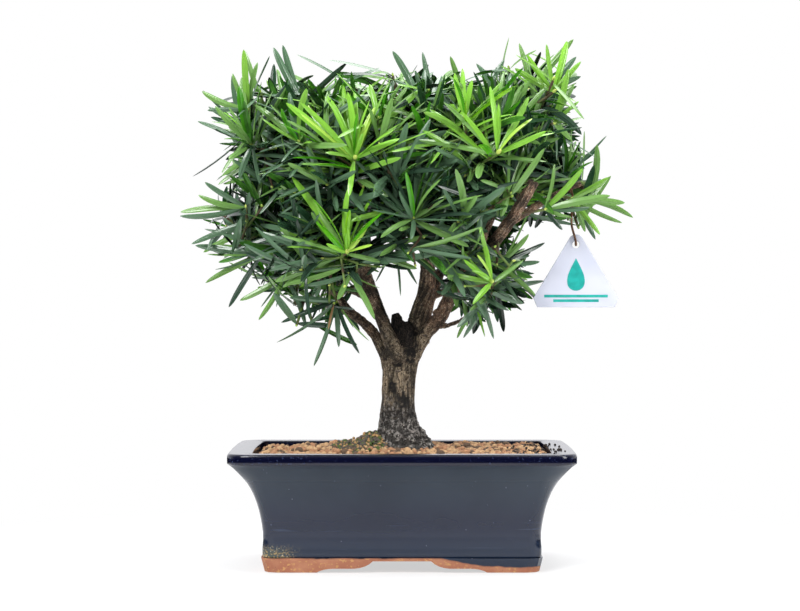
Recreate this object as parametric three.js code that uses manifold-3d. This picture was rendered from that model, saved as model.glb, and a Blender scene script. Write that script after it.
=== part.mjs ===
// Podocarpus bonsai in a glazed rectangular pot.
// Units are millimetres, +Z is up, and the origin is the middle of the pot's underside.
import * as THREE from 'three';
import { mergeVertices } from 'three/addons/utils/BufferGeometryUtils.js';
import Module from 'manifold-3d';

const wasm = await Module();
wasm.setup();

// ---------------------------------------------------------------- driving dimensions
const GAP = 0.3;                  // clear gap between solids that touch

const POT_LENGTH = 300;           // rim, left to right
const POT_DEPTH = 215;            // rim, front to back
const POT_HEIGHT = 104;
const RIM_BAND = 8;               // height of the upright rim band
const RIM_WIDTH = 21;             // flat top of the rim
const POT_NECK = 86;              // the bowl's inside is upright from here up
const WALL = 8;
const CORNER_RADIUS = 12;
const FOOT_TOP = 12.5;            // the bare clay foot ends here and the glazed bowl begins
const FOOT_RAIL = 12;             // thickness of the foot rail, seen from below
const FOOT_RECESS = 10;           // how far the underside is hollowed inside the rail
const FOOT_ARCH = 10;             // height of the arch between two feet
const FRONT_ARCH_SPAN = 74;       // half the space between the feet, front and back
const SIDE_ARCH_SPAN = 46;        // and at the sides
const DRAIN_RADIUS = 9;
const DRAIN_SPACING = 120;
const SOIL_TOP = 99;
const SOIL_MOUND = 4;
const SOIL_MOUND_SPREAD = 42;
const SOIL_MOUND_X = -12;         // the mound's middle lies a little to the left of the trunk
const SOIL_CELLS = [9, 6];        // low heaps of granules, left to right and front to back
const SOIL_CELL = [29, 29.2];     // length and depth of the patch that each heap takes up
const SOIL_HEAP = 3.2;            // height of a heap over the hollows beside it
const SOIL_EDGE = 1.5;            // the soil lies lower by this much along the pot's wall
const SOIL_SLACK = 1;             // clearance of the soil's hidden sides below the pot's neck
const SOIL_SEED = 900;
const TRUNK_FOOT = [-33.5, 34.5]; // left and right edge of the root flare at the soil

const CROWN_WIDTH = 203;          // from the trunk to the leaf tips at the left and right
const CROWN_DEPTH = 145;          // from the trunk to the foremost and rearmost leaf tips
const LEAF_LENGTH = 62;
const LEAF_WIDTH = 9.5;
const LEAF_RIDGE = 1.5;           // height of the midrib over the leaf's flat back
const LEAF_ARCH = 0.03;
const STEM_RADIUS = 2.4;
const STEM_ROOT = 1;              // a stem starts this far inside its limb's tip, then is cut clear
const STEM_RUN = 10;              // it runs straight on from the tip before it turns
const STEM_STEPS = 4;
const SHOOT_RADIUS = 1.5;
const BUD_RADIUS = 3;
const GOLDEN_ANGLE = Math.PI * (3 - Math.sqrt(5));
const THINNEST_FACE = 0.02;       // faces flatter than this count as slivers
const SPIN_TRIES = 24;
const SPIN_STEP = 0.37;           // turn of a twig's or limb's rings between two tries

const COLOURS = {
  glaze: { color: 0x1b2030, roughness: 0.18, metalness: 0 },
  clay: { color: 0xc5866c, roughness: 0.85, metalness: 0 },
  soil: { color: 0xb98a5e, roughness: 0.95, metalness: 0 },
  bark: { color: 0x6e5a45, roughness: 0.9, metalness: 0 },
  deadwood: { color: 0x17130f, roughness: 0.95, metalness: 0 },
  foliage: { color: 0x2f5f2c, roughness: 0.45, metalness: 0 },
  tag: { color: 0xe9eef1, roughness: 0.3, metalness: 0 },
  wire: { color: 0x6b4a33, roughness: 0.5, metalness: 0.6 },
};

// ---------------------------------------------------------------- small helpers
const vec = (x, y, z) => new THREE.Vector3(x, y, z);
const lerp = THREE.MathUtils.lerp;
const smooth = (low, high, value) => THREE.MathUtils.smoothstep(value, low, high);

function makeRandom(seed) {
  let state = seed >>> 0;
  return () => {
    state = (state + 0x6d2b79f5) >>> 0;
    let t = Math.imul(state ^ (state >>> 15), 1 | state);
    t = (t + Math.imul(t ^ (t >>> 7), 61 | t)) ^ t;
    return ((t ^ (t >>> 14)) >>> 0) / 4294967296;
  };
}

// A value read off a list of [position, value] pairs, straight between them.
function alongProfile(profile, position) {
  if (position <= profile[0][0]) return profile[0][1];
  for (let i = 1; i < profile.length; i += 1) {
    const [from, low] = profile[i - 1];
    const [to, high] = profile[i];
    if (position <= to) return lerp(low, high, (position - from) / (to - from));
  }
  return profile[profile.length - 1][1];
}

// A closed surface through rings of equal count, each closed end a fan about its middle.
function loft(rings) {
  const count = rings[0].length;
  const points = rings.flat();
  const faces = [];
  for (let r = 0; r + 1 < rings.length; r += 1) {
    for (let i = 0; i < count; i += 1) {
      const j = (i + 1) % count;
      const a = r * count + i;
      const b = r * count + j;
      faces.push(a, b, b + count, a, b + count, a + count);
    }
  }
  const last = (rings.length - 1) * count;
  const middle = (ring) => ring.reduce((sum, p) => sum.add(p), vec(0, 0, 0)).divideScalar(count);
  points.push(middle(rings[0]), middle(rings[rings.length - 1]));
  for (let i = 0; i < count; i += 1) {
    const j = (i + 1) % count;
    faces.push(points.length - 2, j, i);
    faces.push(points.length - 1, last + i, last + j);
  }
  const geometry = new THREE.BufferGeometry().setFromPoints(points);
  geometry.setIndex(faces);
  return geometry;
}

function toSolid(geometry) {
  const bare = geometry.clone();
  bare.deleteAttribute('normal');
  bare.deleteAttribute('uv');
  const merged = mergeVertices(bare, 1e-4);
  const vertProperties = new Float32Array(merged.attributes.position.array);
  const triVerts = new Uint32Array(merged.index.array);
  return new wasm.Manifold(new wasm.Mesh({ numProp: 3, vertProperties, triVerts }));
}

function toGeometry(solid) {
  const mesh = solid.getMesh();
  const geometry = new THREE.BufferGeometry();
  const positions = new Float32Array(mesh.numVert * 3);
  for (let i = 0; i < mesh.numVert; i += 1) {
    for (let k = 0; k < 3; k += 1) positions[i * 3 + k] = mesh.vertProperties[i * mesh.numProp + k];
  }
  geometry.setAttribute('position', new THREE.BufferAttribute(positions, 3));
  geometry.setIndex(new THREE.BufferAttribute(new Uint32Array(mesh.triVerts), 1));
  geometry.computeVertexNormals();
  return geometry;
}

// The largest body of a fused solid: loose scraps are dropped and sealed hollows are filled.
function mainBody(solid) {
  const bodies = solid.decompose();
  return bodies.reduce((best, body) => (body.volume() > best.volume() ? body : best));
}

// How badly a solid is cut up: each face lower than a limit over its longest edge adds to it.
function sliverScore(solid) {
  const mesh = solid.getMesh();
  const corner = (i) => vec(...mesh.vertProperties.slice(i * mesh.numProp, i * mesh.numProp + 3));
  let score = 0;
  for (let f = 0; f < mesh.triVerts.length; f += 3) {
    const [a, b, c] = [0, 1, 2].map((k) => corner(mesh.triVerts[f + k]));
    const longest = Math.max(a.distanceTo(b), b.distanceTo(c), c.distanceTo(a));
    const doubleArea = b.clone().sub(a).cross(c.clone().sub(a)).length();
    score += Math.max(0, Math.log(THINNEST_FACE * longest / doubleArea));
  }
  return score;
}

// Makes a solid with one spin of its rings after another and keeps the first with the best joins.
function bySpin(make) {
  let best = null;
  for (let turn = 0; turn < SPIN_TRIES; turn += 1) {
    const spin = turn * SPIN_STEP;
    const solid = make(spin);
    const score = sliverScore(solid);
    if (!best || score < best.score) best = { solid, score, spin };
    if (score === 0) break;
  }
  return best;
}

const group = new THREE.Group();

function addPart(name, geometry, finish) {
  const material = new THREE.MeshStandardMaterial(COLOURS[finish]);
  const mesh = new THREE.Mesh(geometry, material);
  mesh.name = name;
  group.add(mesh);
}

// ---------------------------------------------------------------- pot
// Half the pot's length at each height: the foot moulding, the narrow waist and the flared rim.
const POT_PROFILE = [
  [0, 119.5], [10, 121.9], [17, 123.4], [25, 122.2], [31, 120.9], [38, 121.5], [46, 122.7],
  [55, 124.6], [63, 127], [71, 130.2], [79, 134.8], [86, 140.4], [92, 146],
  [POT_HEIGHT - RIM_BAND, POT_LENGTH / 2 - 0.6], [POT_HEIGHT - 1.5, POT_LENGTH / 2],
  [POT_HEIGHT, POT_LENGTH / 2 - 1.5],
];
const CORNER_STEPS = 2;

// A rectangle with round corners in the XY plane at height z.
function roundedRectangle(halfLength, halfDepth, radius, z) {
  const ring = [];
  const corners = [[1, 1], [-1, 1], [-1, -1], [1, -1]];
  corners.forEach(([sx, sy], corner) => {
    for (let step = 0; step <= CORNER_STEPS; step += 1) {
      const angle = (corner + step / CORNER_STEPS) * (Math.PI / 2);
      const x = sx * (halfLength - radius) + radius * Math.cos(angle);
      const y = sy * (halfDepth - radius) + radius * Math.sin(angle);
      ring.push(vec(x, y, z));
    }
  });
  return ring;
}

function potSection(z, inset) {
  const halfLength = alongProfile(POT_PROFILE, z) - inset;
  const halfDepth = halfLength - (POT_LENGTH - POT_DEPTH) / 2;
  return roundedRectangle(halfLength, halfDepth, Math.max(CORNER_RADIUS - inset, 4), z);
}

// The bowl's inside: upright under the rim, then a wall's thickness inside the outer face.
function bowlInset(z) {
  const outer = alongProfile(POT_PROFILE, z);
  return Math.max(WALL, outer - (POT_LENGTH / 2 - RIM_WIDTH));
}

function heights(low, high) {
  const inner = POT_PROFILE.map(([z]) => z).filter((z) => z > low && z < high);
  return [low, ...inner, high];
}

function outerPot(low, high) {
  return toSolid(loft(heights(low, high).map((z) => potSection(z, 0))));
}

function drains(low, high) {
  return [-1, 1].map((side) => {
    const plug = new THREE.CylinderGeometry(DRAIN_RADIUS, DRAIN_RADIUS, high - low, 10);
    plug.rotateX(Math.PI / 2);
    plug.translate(side * DRAIN_SPACING / 2, 0, (low + high) / 2);
    return toSolid(plug);
  });
}

const BOWL_BASE = FOOT_TOP + GAP;
const BOWL_FLOOR = BOWL_BASE + 7;

function makePot() {
  const inside = heights(BOWL_FLOOR, POT_NECK).map((z) => potSection(z, bowlInset(z)));
  inside.push(inside[inside.length - 1].map((p) => p.clone().setZ(POT_HEIGHT + 5)));
  let pot = outerPot(BOWL_BASE, POT_HEIGHT).subtract(toSolid(loft(inside)));
  for (const drain of drains(0, BOWL_FLOOR + 5)) pot = pot.subtract(drain);
  return mainBody(pot);
}

// The foot's lower edge along one side: a low step beside each foot, then an arch in the middle.
// Each span is a share of the half span between the feet.
function archShape(halfSpan) {
  const stepHigh = FOOT_ARCH * 0.34;
  const stepFrom = halfSpan * 0.8;
  const stepTo = halfSpan * 0.56;
  const archFrom = halfSpan * 0.34;
  const below = -5;
  const shape = new THREE.Shape();
  shape.moveTo(-halfSpan, below);
  shape.lineTo(-halfSpan, 0);
  shape.quadraticCurveTo(-halfSpan * 0.92, stepHigh, -stepFrom, stepHigh);
  shape.lineTo(-stepTo, stepHigh);
  shape.quadraticCurveTo(-halfSpan * 0.42, FOOT_ARCH * 0.4, -archFrom, FOOT_ARCH);
  shape.lineTo(archFrom, FOOT_ARCH);
  shape.quadraticCurveTo(halfSpan * 0.42, FOOT_ARCH * 0.4, stepTo, stepHigh);
  shape.lineTo(stepFrom, stepHigh);
  shape.quadraticCurveTo(halfSpan * 0.92, stepHigh, halfSpan, 0);
  shape.lineTo(halfSpan, below);
  shape.closePath();
  return shape;
}

// A bar with the arch's outline that cuts both opposite sides of the foot.
function archCutter(halfSpan, turn) {
  const bar = new THREE.ExtrudeGeometry(archShape(halfSpan), {
    depth: POT_LENGTH * 1.2, bevelEnabled: false, curveSegments: 4,
  });
  bar.translate(0, 0, -POT_LENGTH * 0.6);
  bar.rotateX(Math.PI / 2);
  bar.rotateZ(turn);
  return toSolid(bar);
}

function makeFoot() {
  const recess = [potSection(-1, FOOT_RAIL + 1), potSection(FOOT_RECESS, FOOT_RAIL + 3)];
  recess[0].forEach((p) => p.setZ(-1));
  let foot = outerPot(0, FOOT_TOP);
  foot = foot.subtract(toSolid(loft(recess)));
  foot = foot.subtract(archCutter(FRONT_ARCH_SPAN, 0));
  foot = foot.subtract(archCutter(SIDE_ARCH_SPAN, Math.PI / 2));
  for (const drain of drains(-1, FOOT_TOP + 1)) foot = foot.subtract(drain);
  return mainBody(foot);
}

// ---------------------------------------------------------------- soil
// Height of the soil: a low mound round the trunk and a slightly uneven bed.
function soilHeight(x, y) {
  const away = (x - SOIL_MOUND_X) ** 2 + y ** 2;
  const mound = SOIL_MOUND * Math.exp(-away / (2 * SOIL_MOUND_SPREAD ** 2));
  return SOIL_TOP + mound + 0.7 * Math.sin(x / 17) * Math.cos(y / 13);
}

// A block whose top is a lattice of low heaps, each a raised middle between four low corners.
// Under the trunk it stays even.
function heapBlock(low) {
  const random = makeRandom(SOIL_SEED);
  const [cellsX, cellsY] = SOIL_CELLS;
  const surface = (i, j, side) => {
    const x = (i - cellsX / 2) * SOIL_CELL[0];
    const y = (j - cellsY / 2) * SOIL_CELL[1];
    const free = smooth(TRUNK_FOOT[1] - 4, TRUNK_FOOT[1] + 12, Math.hypot(x, y));
    const heap = side * free * SOIL_HEAP / 2 * (0.5 + random());
    const edge = i % cellsX === 0 || j % cellsY === 0 ? SOIL_EDGE : 0;
    return vec(x, y, soilHeight(x, y) + heap - edge);
  };
  const corners = [];
  for (let j = 0; j <= cellsY; j += 1) {
    for (let i = 0; i <= cellsX; i += 1) corners.push(surface(i, j, -1));
  }
  const count = corners.length;
  const points = [...corners, ...corners.map((p) => p.clone().setZ(low))];
  const faces = [];
  const addSide = (a, b) => faces.push(a, b, a + count, b, b + count, a + count);
  for (let j = 0; j < cellsY; j += 1) {
    for (let i = 0; i < cellsX; i += 1) {
      const a = j * (cellsX + 1) + i;
      const around = [a, a + 1, a + cellsX + 2, a + cellsX + 1];
      const [p, q, r, s] = around.map((corner) => corner + count);
      faces.push(p, r, q, p, s, r);
      around.forEach((corner, k) => faces.push(corner, around[(k + 1) % 4], points.length));
      points.push(surface(i + 0.5, j + 0.5, 1));
      if (j === 0) addSide(around[1], around[0]);
      if (j === cellsY - 1) addSide(around[3], around[2]);
      if (i === 0) addSide(around[0], around[3]);
      if (i === cellsX - 1) addSide(around[2], around[1]);
    }
  }
  const geometry = new THREE.BufferGeometry().setFromPoints(points);
  geometry.setIndex(faces);
  return toSolid(geometry);
}

function makeSoil() {
  const walls = [BOWL_FLOOR + GAP, 31, 38, 63, POT_NECK].map((z) => {
    return potSection(z, bowlInset(z) + (z < POT_NECK ? SOIL_SLACK : GAP));
  });
  walls.push(walls[walls.length - 1].map((p) => p.clone().setZ(POT_HEIGHT + 5)));
  return toSolid(loft(walls)).intersect(heapBlock(0));
}

// ---------------------------------------------------------------- trunk and limbs
// Each row: height, left edge, right edge. The trunk leans little and flares at its foot.
const TRUNK_EDGES = [
  [104.5, -30.5, 31], [109.5, -27.8, 26.6], [115, -25, 21.6], [121, -22.4, 17.2],
  [128, -20, 13.6], [137, -19.1, 12], [148, -18.2, 11.7], [160, -17.8, 11.8],
  [173, -17.9, 13.3], [184, -19.4, 15.4], [192, -18.2, 14.4], [196, -12, 9],
];
const TRUNK_SIDES = 20;
const ROOT_COUNT = 5;
const LIMB_STATIONS = 24;
const LIMB_RING_RATE = 1.5;       // rings for each named point of a limb's path

function trunkRings(grow) {
  const foot = soilHeight(0, 0) + GAP;
  const rows = [[foot, ...TRUNK_FOOT], ...TRUNK_EDGES];
  return rows.map(([height, left, right], index) => {
    const middle = (left + right) / 2;
    const radius = (right - left) / 2 + grow;
    const flare = 1 - smooth(foot, foot + 26, height);
    const ends = { 0: -grow, [rows.length - 1]: grow };
    const ring = [];
    for (let i = 0; i < TRUNK_SIDES; i += 1) {
      const angle = (i / TRUNK_SIDES) * Math.PI * 2;
      const lobe = 1 + flare * 0.1 * (Math.cos(ROOT_COUNT * angle) - 1);
      const furrow = 1 + 0.02 * Math.cos(3 * angle + height / 9);
      const reach = radius * lobe * furrow;
      const x = middle + reach * Math.cos(angle);
      const y = reach * 0.96 * Math.sin(angle);
      ring.push(vec(x, y, height + (ends[index] ?? 0)));
    }
    return ring;
  });
}

// Every limb as [x, y, z, radius] from its root to its tip. It starts inside the trunk or the
// earlier limb that carries it.
const LIMBS = {
  cut_stub: {
    finish: 'deadwood', sides: 10,
    path: [[-1, -3, 178, 7.5], [-1.5, -4, 196, 7.8], [-3.5, -3, 212, 7.2], [-6.2, -2, 224, 4]],
  },
  bough_centre: {
    sides: 10,
    path: [[8, 4, 180, 11], [14.5, 5, 213, 10.4], [21.5, 3, 240, 8.4], [23.4, 0, 267, 6.8],
      [22.5, -2, 294, 5.4], [19, -3, 322, 4.4], [12, -3, 350, 3.4]],
  },
  bough_right: {
    sides: 10,
    path: [[12, -3, 184, 8], [33, -14, 219, 6.8], [46.5, -25, 246, 6.2], [66, -41, 271, 5.8],
      [84, -55, 291, 5.6], [99, -66, 312, 5.2], [114, -78, 339, 5]],
  },
  bough_left_front: {
    sides: 10,
    path: [[-3, -6, 178, 5.6], [-9, -13, 195, 6.4], [-16, -13, 212, 5.4], [-25, -10, 232, 4.8],
      [-32.5, -4, 254, 5.6], [-35, 1, 272, 6.4], [-40, -6, 292, 4.6], [-44, -14, 312, 3.4]],
  },
  bough_left_outer: {
    sides: 8,
    path: [[-11, 2, 180, 7], [-25, 7, 205, 5], [-41, 5, 220.5, 4.2], [-58, -12, 229, 3.5],
      [-74, -24, 234, 2.8]],
  },
  bough_back_left: {
    sides: 8,
    path: [[-5, 8, 182, 7], [-14, 26, 208, 6], [-23, 46, 234, 5], [-34, 66, 262, 4.4],
      [-50, 78, 292, 3.6]],
  },
  bough_back_right: {
    sides: 8,
    path: [[6, 10, 182, 7], [17, 30, 212, 6], [26, 50, 238, 5], [38, 66, 266, 4.4],
      [54, 78, 294, 3.6]],
  },
  limb_right_low: {
    sides: 6,
    path: [[28, -12, 211, 2.6], [40, -19, 213, 2.3], [54, -30, 219, 2.1], [66, -40, 228, 2]],
  },
  limb_low_front: {
    sides: 6,
    path: [[-34, -1, 266, 4], [-42, -22, 266, 3.2], [-52, -42, 268, 2.6]],
  },
  limb_left: {
    sides: 6,
    path: [[-36, 1, 275, 4], [-62, 2, 300, 3.6], [-88, -2, 326, 3.1], [-100, -6, 345, 2.6]],
  },
  limb_left_low: {
    sides: 6,
    path: [[-40, 5, 220, 3.2], [-60, 20, 240, 3], [-82, 16, 262, 2.8], [-100, 4, 276, 2.6]],
  },
  limb_front_middle: {
    sides: 6,
    path: [[23, -1, 281, 3.6], [15, -22, 291, 2.8], [9, -44, 296, 2.3]],
  },
  limb_front_right: {
    sides: 6,
    path: [[22, -3, 300, 4], [36, -26, 318, 3.2], [46, -44, 332, 2.6]],
  },
  limb_back_top: {
    sides: 6,
    path: [[19, -2, 318, 3.8], [16, 28, 340, 3.2], [12, 46, 356, 2.6]],
  },
  limb_top_right: {
    sides: 6,
    path: [[60, -36, 264, 4.2], [76, -12, 300, 3.6], [90, -4, 336, 3.1], [98, -4, 356, 2.7]],
  },
  limb_right: {
    sides: 6,
    path: [[92, -60, 302, 3.8], [114, -46, 316, 3.2], [136, -42, 329, 2.8], [158, -37, 339, 2.4]],
  },
  limb_back_left_low: {
    sides: 6,
    path: [[-23, 46, 234, 3.4], [-42, 58, 242, 2.9], [-60, 66, 250, 2.5]],
  },
  limb_back_right_low: {
    sides: 6,
    path: [[26, 50, 238, 3.4], [46, 58, 246, 2.9], [66, 64, 254, 2.5]],
  },
};

// Points and radii along a limb: a smooth curve through its path.
function limbStations(path, steps) {
  const curve = new THREE.CatmullRomCurve3(path.map(([x, y, z]) => vec(x, y, z)), false, 'centripetal');
  const radii = path.map((row) => row[3]);
  const stations = [];
  for (let i = 0; i <= steps; i += 1) {
    const t = i / steps;
    const place = t * (radii.length - 1);
    const below = Math.min(Math.floor(place), radii.length - 2);
    const radius = lerp(radii[below], radii[below + 1], place - below);
    stations.push({ point: curve.getPoint(t), radius });
  }
  return stations;
}

// Rings square to a line of stations, carried along without twist.
function ringsAlong(stations, sides, grow, spin = 0) {
  const count = stations.length;
  const tangents = stations.map((_, i) => {
    const before = stations[Math.max(i - 1, 0)].point;
    const after = stations[Math.min(i + 1, count - 1)].point;
    return after.clone().sub(before).normalize();
  });
  let side = vec(0, 1, 0).cross(tangents[0]);
  if (side.length() < 0.2) side = vec(1, 0, 0).cross(tangents[0]);
  side.normalize();
  return stations.map(({ point, radius }, i) => {
    const tangent = tangents[i];
    side.addScaledVector(tangent, -side.dot(tangent)).normalize();
    const other = tangent.clone().cross(side);
    const push = (i === count - 1 ? grow : 0) - (i === 0 ? grow : 0);
    const ring = [];
    for (let k = 0; k < sides; k += 1) {
      const angle = spin + (k / sides) * Math.PI * 2;
      ring.push(point.clone()
        .addScaledVector(side, (radius + grow) * Math.cos(angle))
        .addScaledVector(other, (radius + grow) * Math.sin(angle))
        .addScaledVector(tangent, push));
    }
    return ring;
  });
}

function limbSolid(limb, grow) {
  const steps = Math.round((limb.path.length - 1) * LIMB_RING_RATE);
  const stations = limbStations(limb.path, steps);
  return toSolid(loft(ringsAlong(stations, limb.sides, grow, limb.spin)));
}

// ---------------------------------------------------------------- tag and its wire
const TAG = {
  centreX: 153, y: -42, bottom: 229.5, height: 64, width: 75, thickness: 1.8,
  cornerCut: 8, topWidth: 10, holeRadius: 3.2, holeBelowTop: 9,
};
const WIRE_RADIUS = 1;
const WIRE_STEPS = 20;
const WIRE_SIDES = 4;
const WIRE_STATION = 20;          // where along the right-hand limb the wire hooks over

function makeTag() {
  const { width, height, cornerCut, topWidth } = TAG;
  const shape = new THREE.Shape();
  shape.moveTo(-width / 2 + 3.4, 0);
  shape.lineTo(width / 2 - 3.4, 0);
  shape.lineTo(width / 2, cornerCut);
  shape.lineTo(topWidth / 2, height - 2);
  shape.lineTo(topWidth / 2 - 3, height);
  shape.lineTo(-topWidth / 2 + 3, height);
  shape.lineTo(-topWidth / 2, height - 2);
  shape.lineTo(-width / 2, cornerCut);
  shape.closePath();
  const hole = new THREE.Path();
  hole.absarc(0, height - TAG.holeBelowTop, TAG.holeRadius, 0, Math.PI * 2, true);
  shape.holes.push(hole);
  const plate = new THREE.ExtrudeGeometry(shape, {
    depth: TAG.thickness, bevelEnabled: false, curveSegments: 8,
  });
  plate.translate(0, 0, -TAG.thickness / 2);
  plate.rotateX(Math.PI / 2);
  plate.translate(TAG.centreX, TAG.y, TAG.bottom);
  return toSolid(plate);
}

// The wire hooks over the right-hand limb, drops to the tag and hooks through its hole.
function wireStations() {
  const { point: top, radius } = limbStations(LIMBS.limb_right.path, LIMB_STATIONS)[WIRE_STATION];
  const hang = radius + 3 * GAP + WIRE_RADIUS;
  const holeZ = TAG.bottom + TAG.height - TAG.holeBelowTop;
  const stand = TAG.thickness / 2 + 2 * GAP + WIRE_RADIUS;
  const back = TAG.y + stand;
  const front = TAG.y - stand;
  const points = [vec(top.x + 1, top.y + hang * 0.9, top.z - 4)];
  for (const angle of [20, 60, 90, 120, 160]) {
    const turn = THREE.MathUtils.degToRad(angle);
    points.push(vec(top.x + 1, top.y + hang * Math.cos(turn), top.z + hang * Math.sin(turn)));
  }
  points.push(
    vec(top.x + 3, top.y - hang, top.z - 8), vec(TAG.centreX - 4, front, holeZ + 18),
    vec(TAG.centreX - 1, front, holeZ + 6), vec(TAG.centreX, front, holeZ + 0.6),
    vec(TAG.centreX, TAG.y, holeZ - 0.4), vec(TAG.centreX, back, holeZ + 1),
    vec(TAG.centreX + 0.4, back, holeZ + 6),
  );
  const curve = new THREE.CatmullRomCurve3(points, false, 'centripetal');
  return curve.getPoints(WIRE_STEPS).map((point) => ({ point, radius: WIRE_RADIUS }));
}

// ---------------------------------------------------------------- foliage
// Each mass: its heart and reach (half-axes of its space), the limb whose tip carries it, and
// the sites of the rosettes that stand out on it.
const MASSES = {
  leaves_front_left: {
    limb: 'bough_left_front', heart: [-50, -66, 354], reach: [70, 76, 70],
    sites: [[-40, -112, 357], [-88, -92, 372], [-20, -92, 392]],
  },
  leaves_low_front: {
    limb: 'limb_low_front', heart: [-58, -78, 274], reach: [62, 64, 52],
    sites: [[-47, -108, 277], [-86, -96, 262]],
  },
  leaves_front_middle: {
    limb: 'limb_front_middle', heart: [10, -82, 306], reach: [46, 60, 56],
    sites: [[10, -108, 306], [-3, -88, 284]],
  },
  leaves_front_right: {
    limb: 'limb_front_right', heart: [62, -70, 356], reach: [66, 74, 70],
    sites: [[82, -106, 362], [54, -98, 392], [32, -104, 346]],
  },
  leaves_low_right: {
    limb: 'limb_right_low', heart: [82, -60, 252], reach: [56, 64, 50],
    sites: [[77, -98, 252], [62, -62, 228], [100, -70, 262]],
  },
  leaves_left: {
    limb: 'limb_left_low', heart: [-142, -4, 296], reach: [62, 92, 62],
    sites: [[-134, -60, 319], [-160, -10, 312], [-150, -30, 276]],
  },
  leaves_low_left: {
    limb: 'bough_left_outer', heart: [-96, -34, 232], reach: [66, 74, 55],
    sites: [[-60, -50, 232], [-124, -50, 258], [-92, -60, 214]],
  },
  leaves_top_left: {
    limb: 'limb_left', heart: [-120, -10, 386], reach: [72, 88, 78],
    sites: [[-131, -66, 371], [-124, -50, 418], [-150, 0, 420], [-70, -20, 420]],
  },
  leaves_right: {
    limb: 'limb_right', heart: [146, 4, 326], reach: [56, 96, 56],
    sites: [[145, -58, 348], [168, -10, 320], [156, -30, 300]],
  },
  leaves_top_right: {
    limb: 'limb_top_right', heart: [112, -6, 402], reach: [72, 88, 70],
    sites: [[132, -62, 428], [94, -40, 440], [150, 0, 436]],
  },
  leaves_top: {
    limb: 'bough_centre', heart: [0, -10, 408], reach: [66, 84, 56],
    sites: [[23, -66, 418], [-8, -34, 434], [-42, -24, 424], [34, -4, 428]],
  },
  leaves_back_top: {
    limb: 'limb_back_top', heart: [8, 78, 386], reach: [66, 68, 72],
    sites: [[0, 96, 420]],
  },
  leaves_back_left: {
    limb: 'bough_back_left', heart: [-80, 84, 340], reach: [78, 62, 78],
    sites: [[-100, 100, 380]],
  },
  leaves_back_right: {
    limb: 'bough_back_right', heart: [80, 84, 336], reach: [78, 62, 78],
    sites: [[110, 100, 380]],
  },
  leaves_back_left_low: {
    limb: 'limb_back_left_low', heart: [-82, 76, 254], reach: [64, 62, 50],
    sites: [[-96, 96, 240]],
  },
  leaves_back_right_low: {
    limb: 'limb_back_right_low', heart: [86, 74, 260], reach: [60, 62, 50],
    sites: [[100, 92, 246]],
  },
};

const SPREAD_TRIES = 24;          // directions from a heart that are tried for further rosettes
const SPREAD_SHARE = [0.32, 0.54]; // how far out along the reach such a rosette sits
const SITE_SPACING = 36;
const SITE_MARGIN = 9;
const FORK_SHARE = [0.35, 0.95];  // where along its stem a shoot forks off
const SHOOT_SAG = 0.08;
const SHOOT_TAPER = 0.75;
const AXIS_RISE = 0.35;           // how much a rosette turns up towards the light
const LOWEST_LEAF = -0.25;        // leaves below this share of the axis are left off a bud
const LEAF_LENGTHS = [0.9, 1.15];
const LEAF_TRIES = [1, 0.85, 0.7, 0.55];
const LEAF_SCATTER = 0.24;
const LEAF_SPACING = 5.5;
const FEWEST_LEAVES = 5;
const REACH_MARGIN = 1.25;        // leaf tips pass a mass's half-axes by this share

// The box in front of the tag and beside it that stays free of leaves.
const TAG_SPACE = new THREE.Box3(vec(108, -150, 228), vec(198, -36, 302));

// Capsules that twigs and leaves keep clear of: the trunk, every limb and the wire.
const obstacles = [];
function addObstacles(owner, stations) {
  for (let i = 0; i + 1 < stations.length; i += 1) {
    const segment = new THREE.Line3(stations[i].point, stations[i + 1].point);
    obstacles.push({ owner, segment, radius: Math.max(stations[i].radius, stations[i + 1].radius) });
  }
}

const nearest = vec(0, 0, 0);
function clearOfLimbs(point, margin, ignored) {
  return obstacles.every(({ owner, segment, radius }) => {
    if (owner === ignored) return true;
    segment.closestPointToPoint(point, true, nearest);
    return nearest.distanceTo(point) > radius + margin;
  });
}

// Half the crown's width at each height. Its depth changes less from top to bottom.
const CROWN_PROFILE = [
  [176, 62], [200, 110], [231, 152], [265, 180], [315, CROWN_WIDTH], [370, 194], [420, 180],
  [450, 158], [469, 112],
];
const CROWN_SQUARENESS = 2.5;

function withinCrown({ x, y, z }) {
  const last = CROWN_PROFILE[CROWN_PROFILE.length - 1];
  if (z < CROWN_PROFILE[0][0] || z > last[0]) return false;
  const halfWidth = alongProfile(CROWN_PROFILE, z);
  const halfDepth = CROWN_DEPTH * Math.sqrt(halfWidth / CROWN_WIDTH);
  const across = Math.abs(x / halfWidth) ** CROWN_SQUARENESS;
  return across + Math.abs(y / halfDepth) ** CROWN_SQUARENESS < 1;
}

// How far a mass reaches from its heart in a direction.
function reachAlong(mass, direction) {
  const [a, b, c] = mass.reach;
  return 1 / Math.hypot(direction.x / a, direction.y / b, direction.z / c);
}

// The planes that part a mass from its neighbours, each set between them by their reach.
function partingPlanes(name) {
  const mass = MASSES[name];
  const heart = vec(...mass.heart);
  const planes = [];
  for (const [otherName, other] of Object.entries(MASSES)) {
    if (otherName === name) continue;
    const away = vec(...other.heart).sub(heart);
    const distance = away.length();
    away.normalize();
    const mine = reachAlong(mass, away);
    const theirs = reachAlong(other, away);
    const limit = distance * mine / (mine + theirs) - GAP;
    planes.push(new THREE.Plane(away, -(away.dot(heart) + limit)));
  }
  return planes;
}

function withinSpace(space, point, margin, useReach = true) {
  if (space.planes.some((plane) => plane.distanceToPoint(point) > -margin)) return false;
  if (TAG_SPACE.containsPoint(point)) return false;
  if (!useReach) return true;
  const [a, b, c] = space.mass.reach;
  const { x, y, z } = point.clone().sub(space.heart);
  return Math.hypot(x / a, y / b, z / c) < REACH_MARGIN && withinCrown(point);
}

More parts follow.
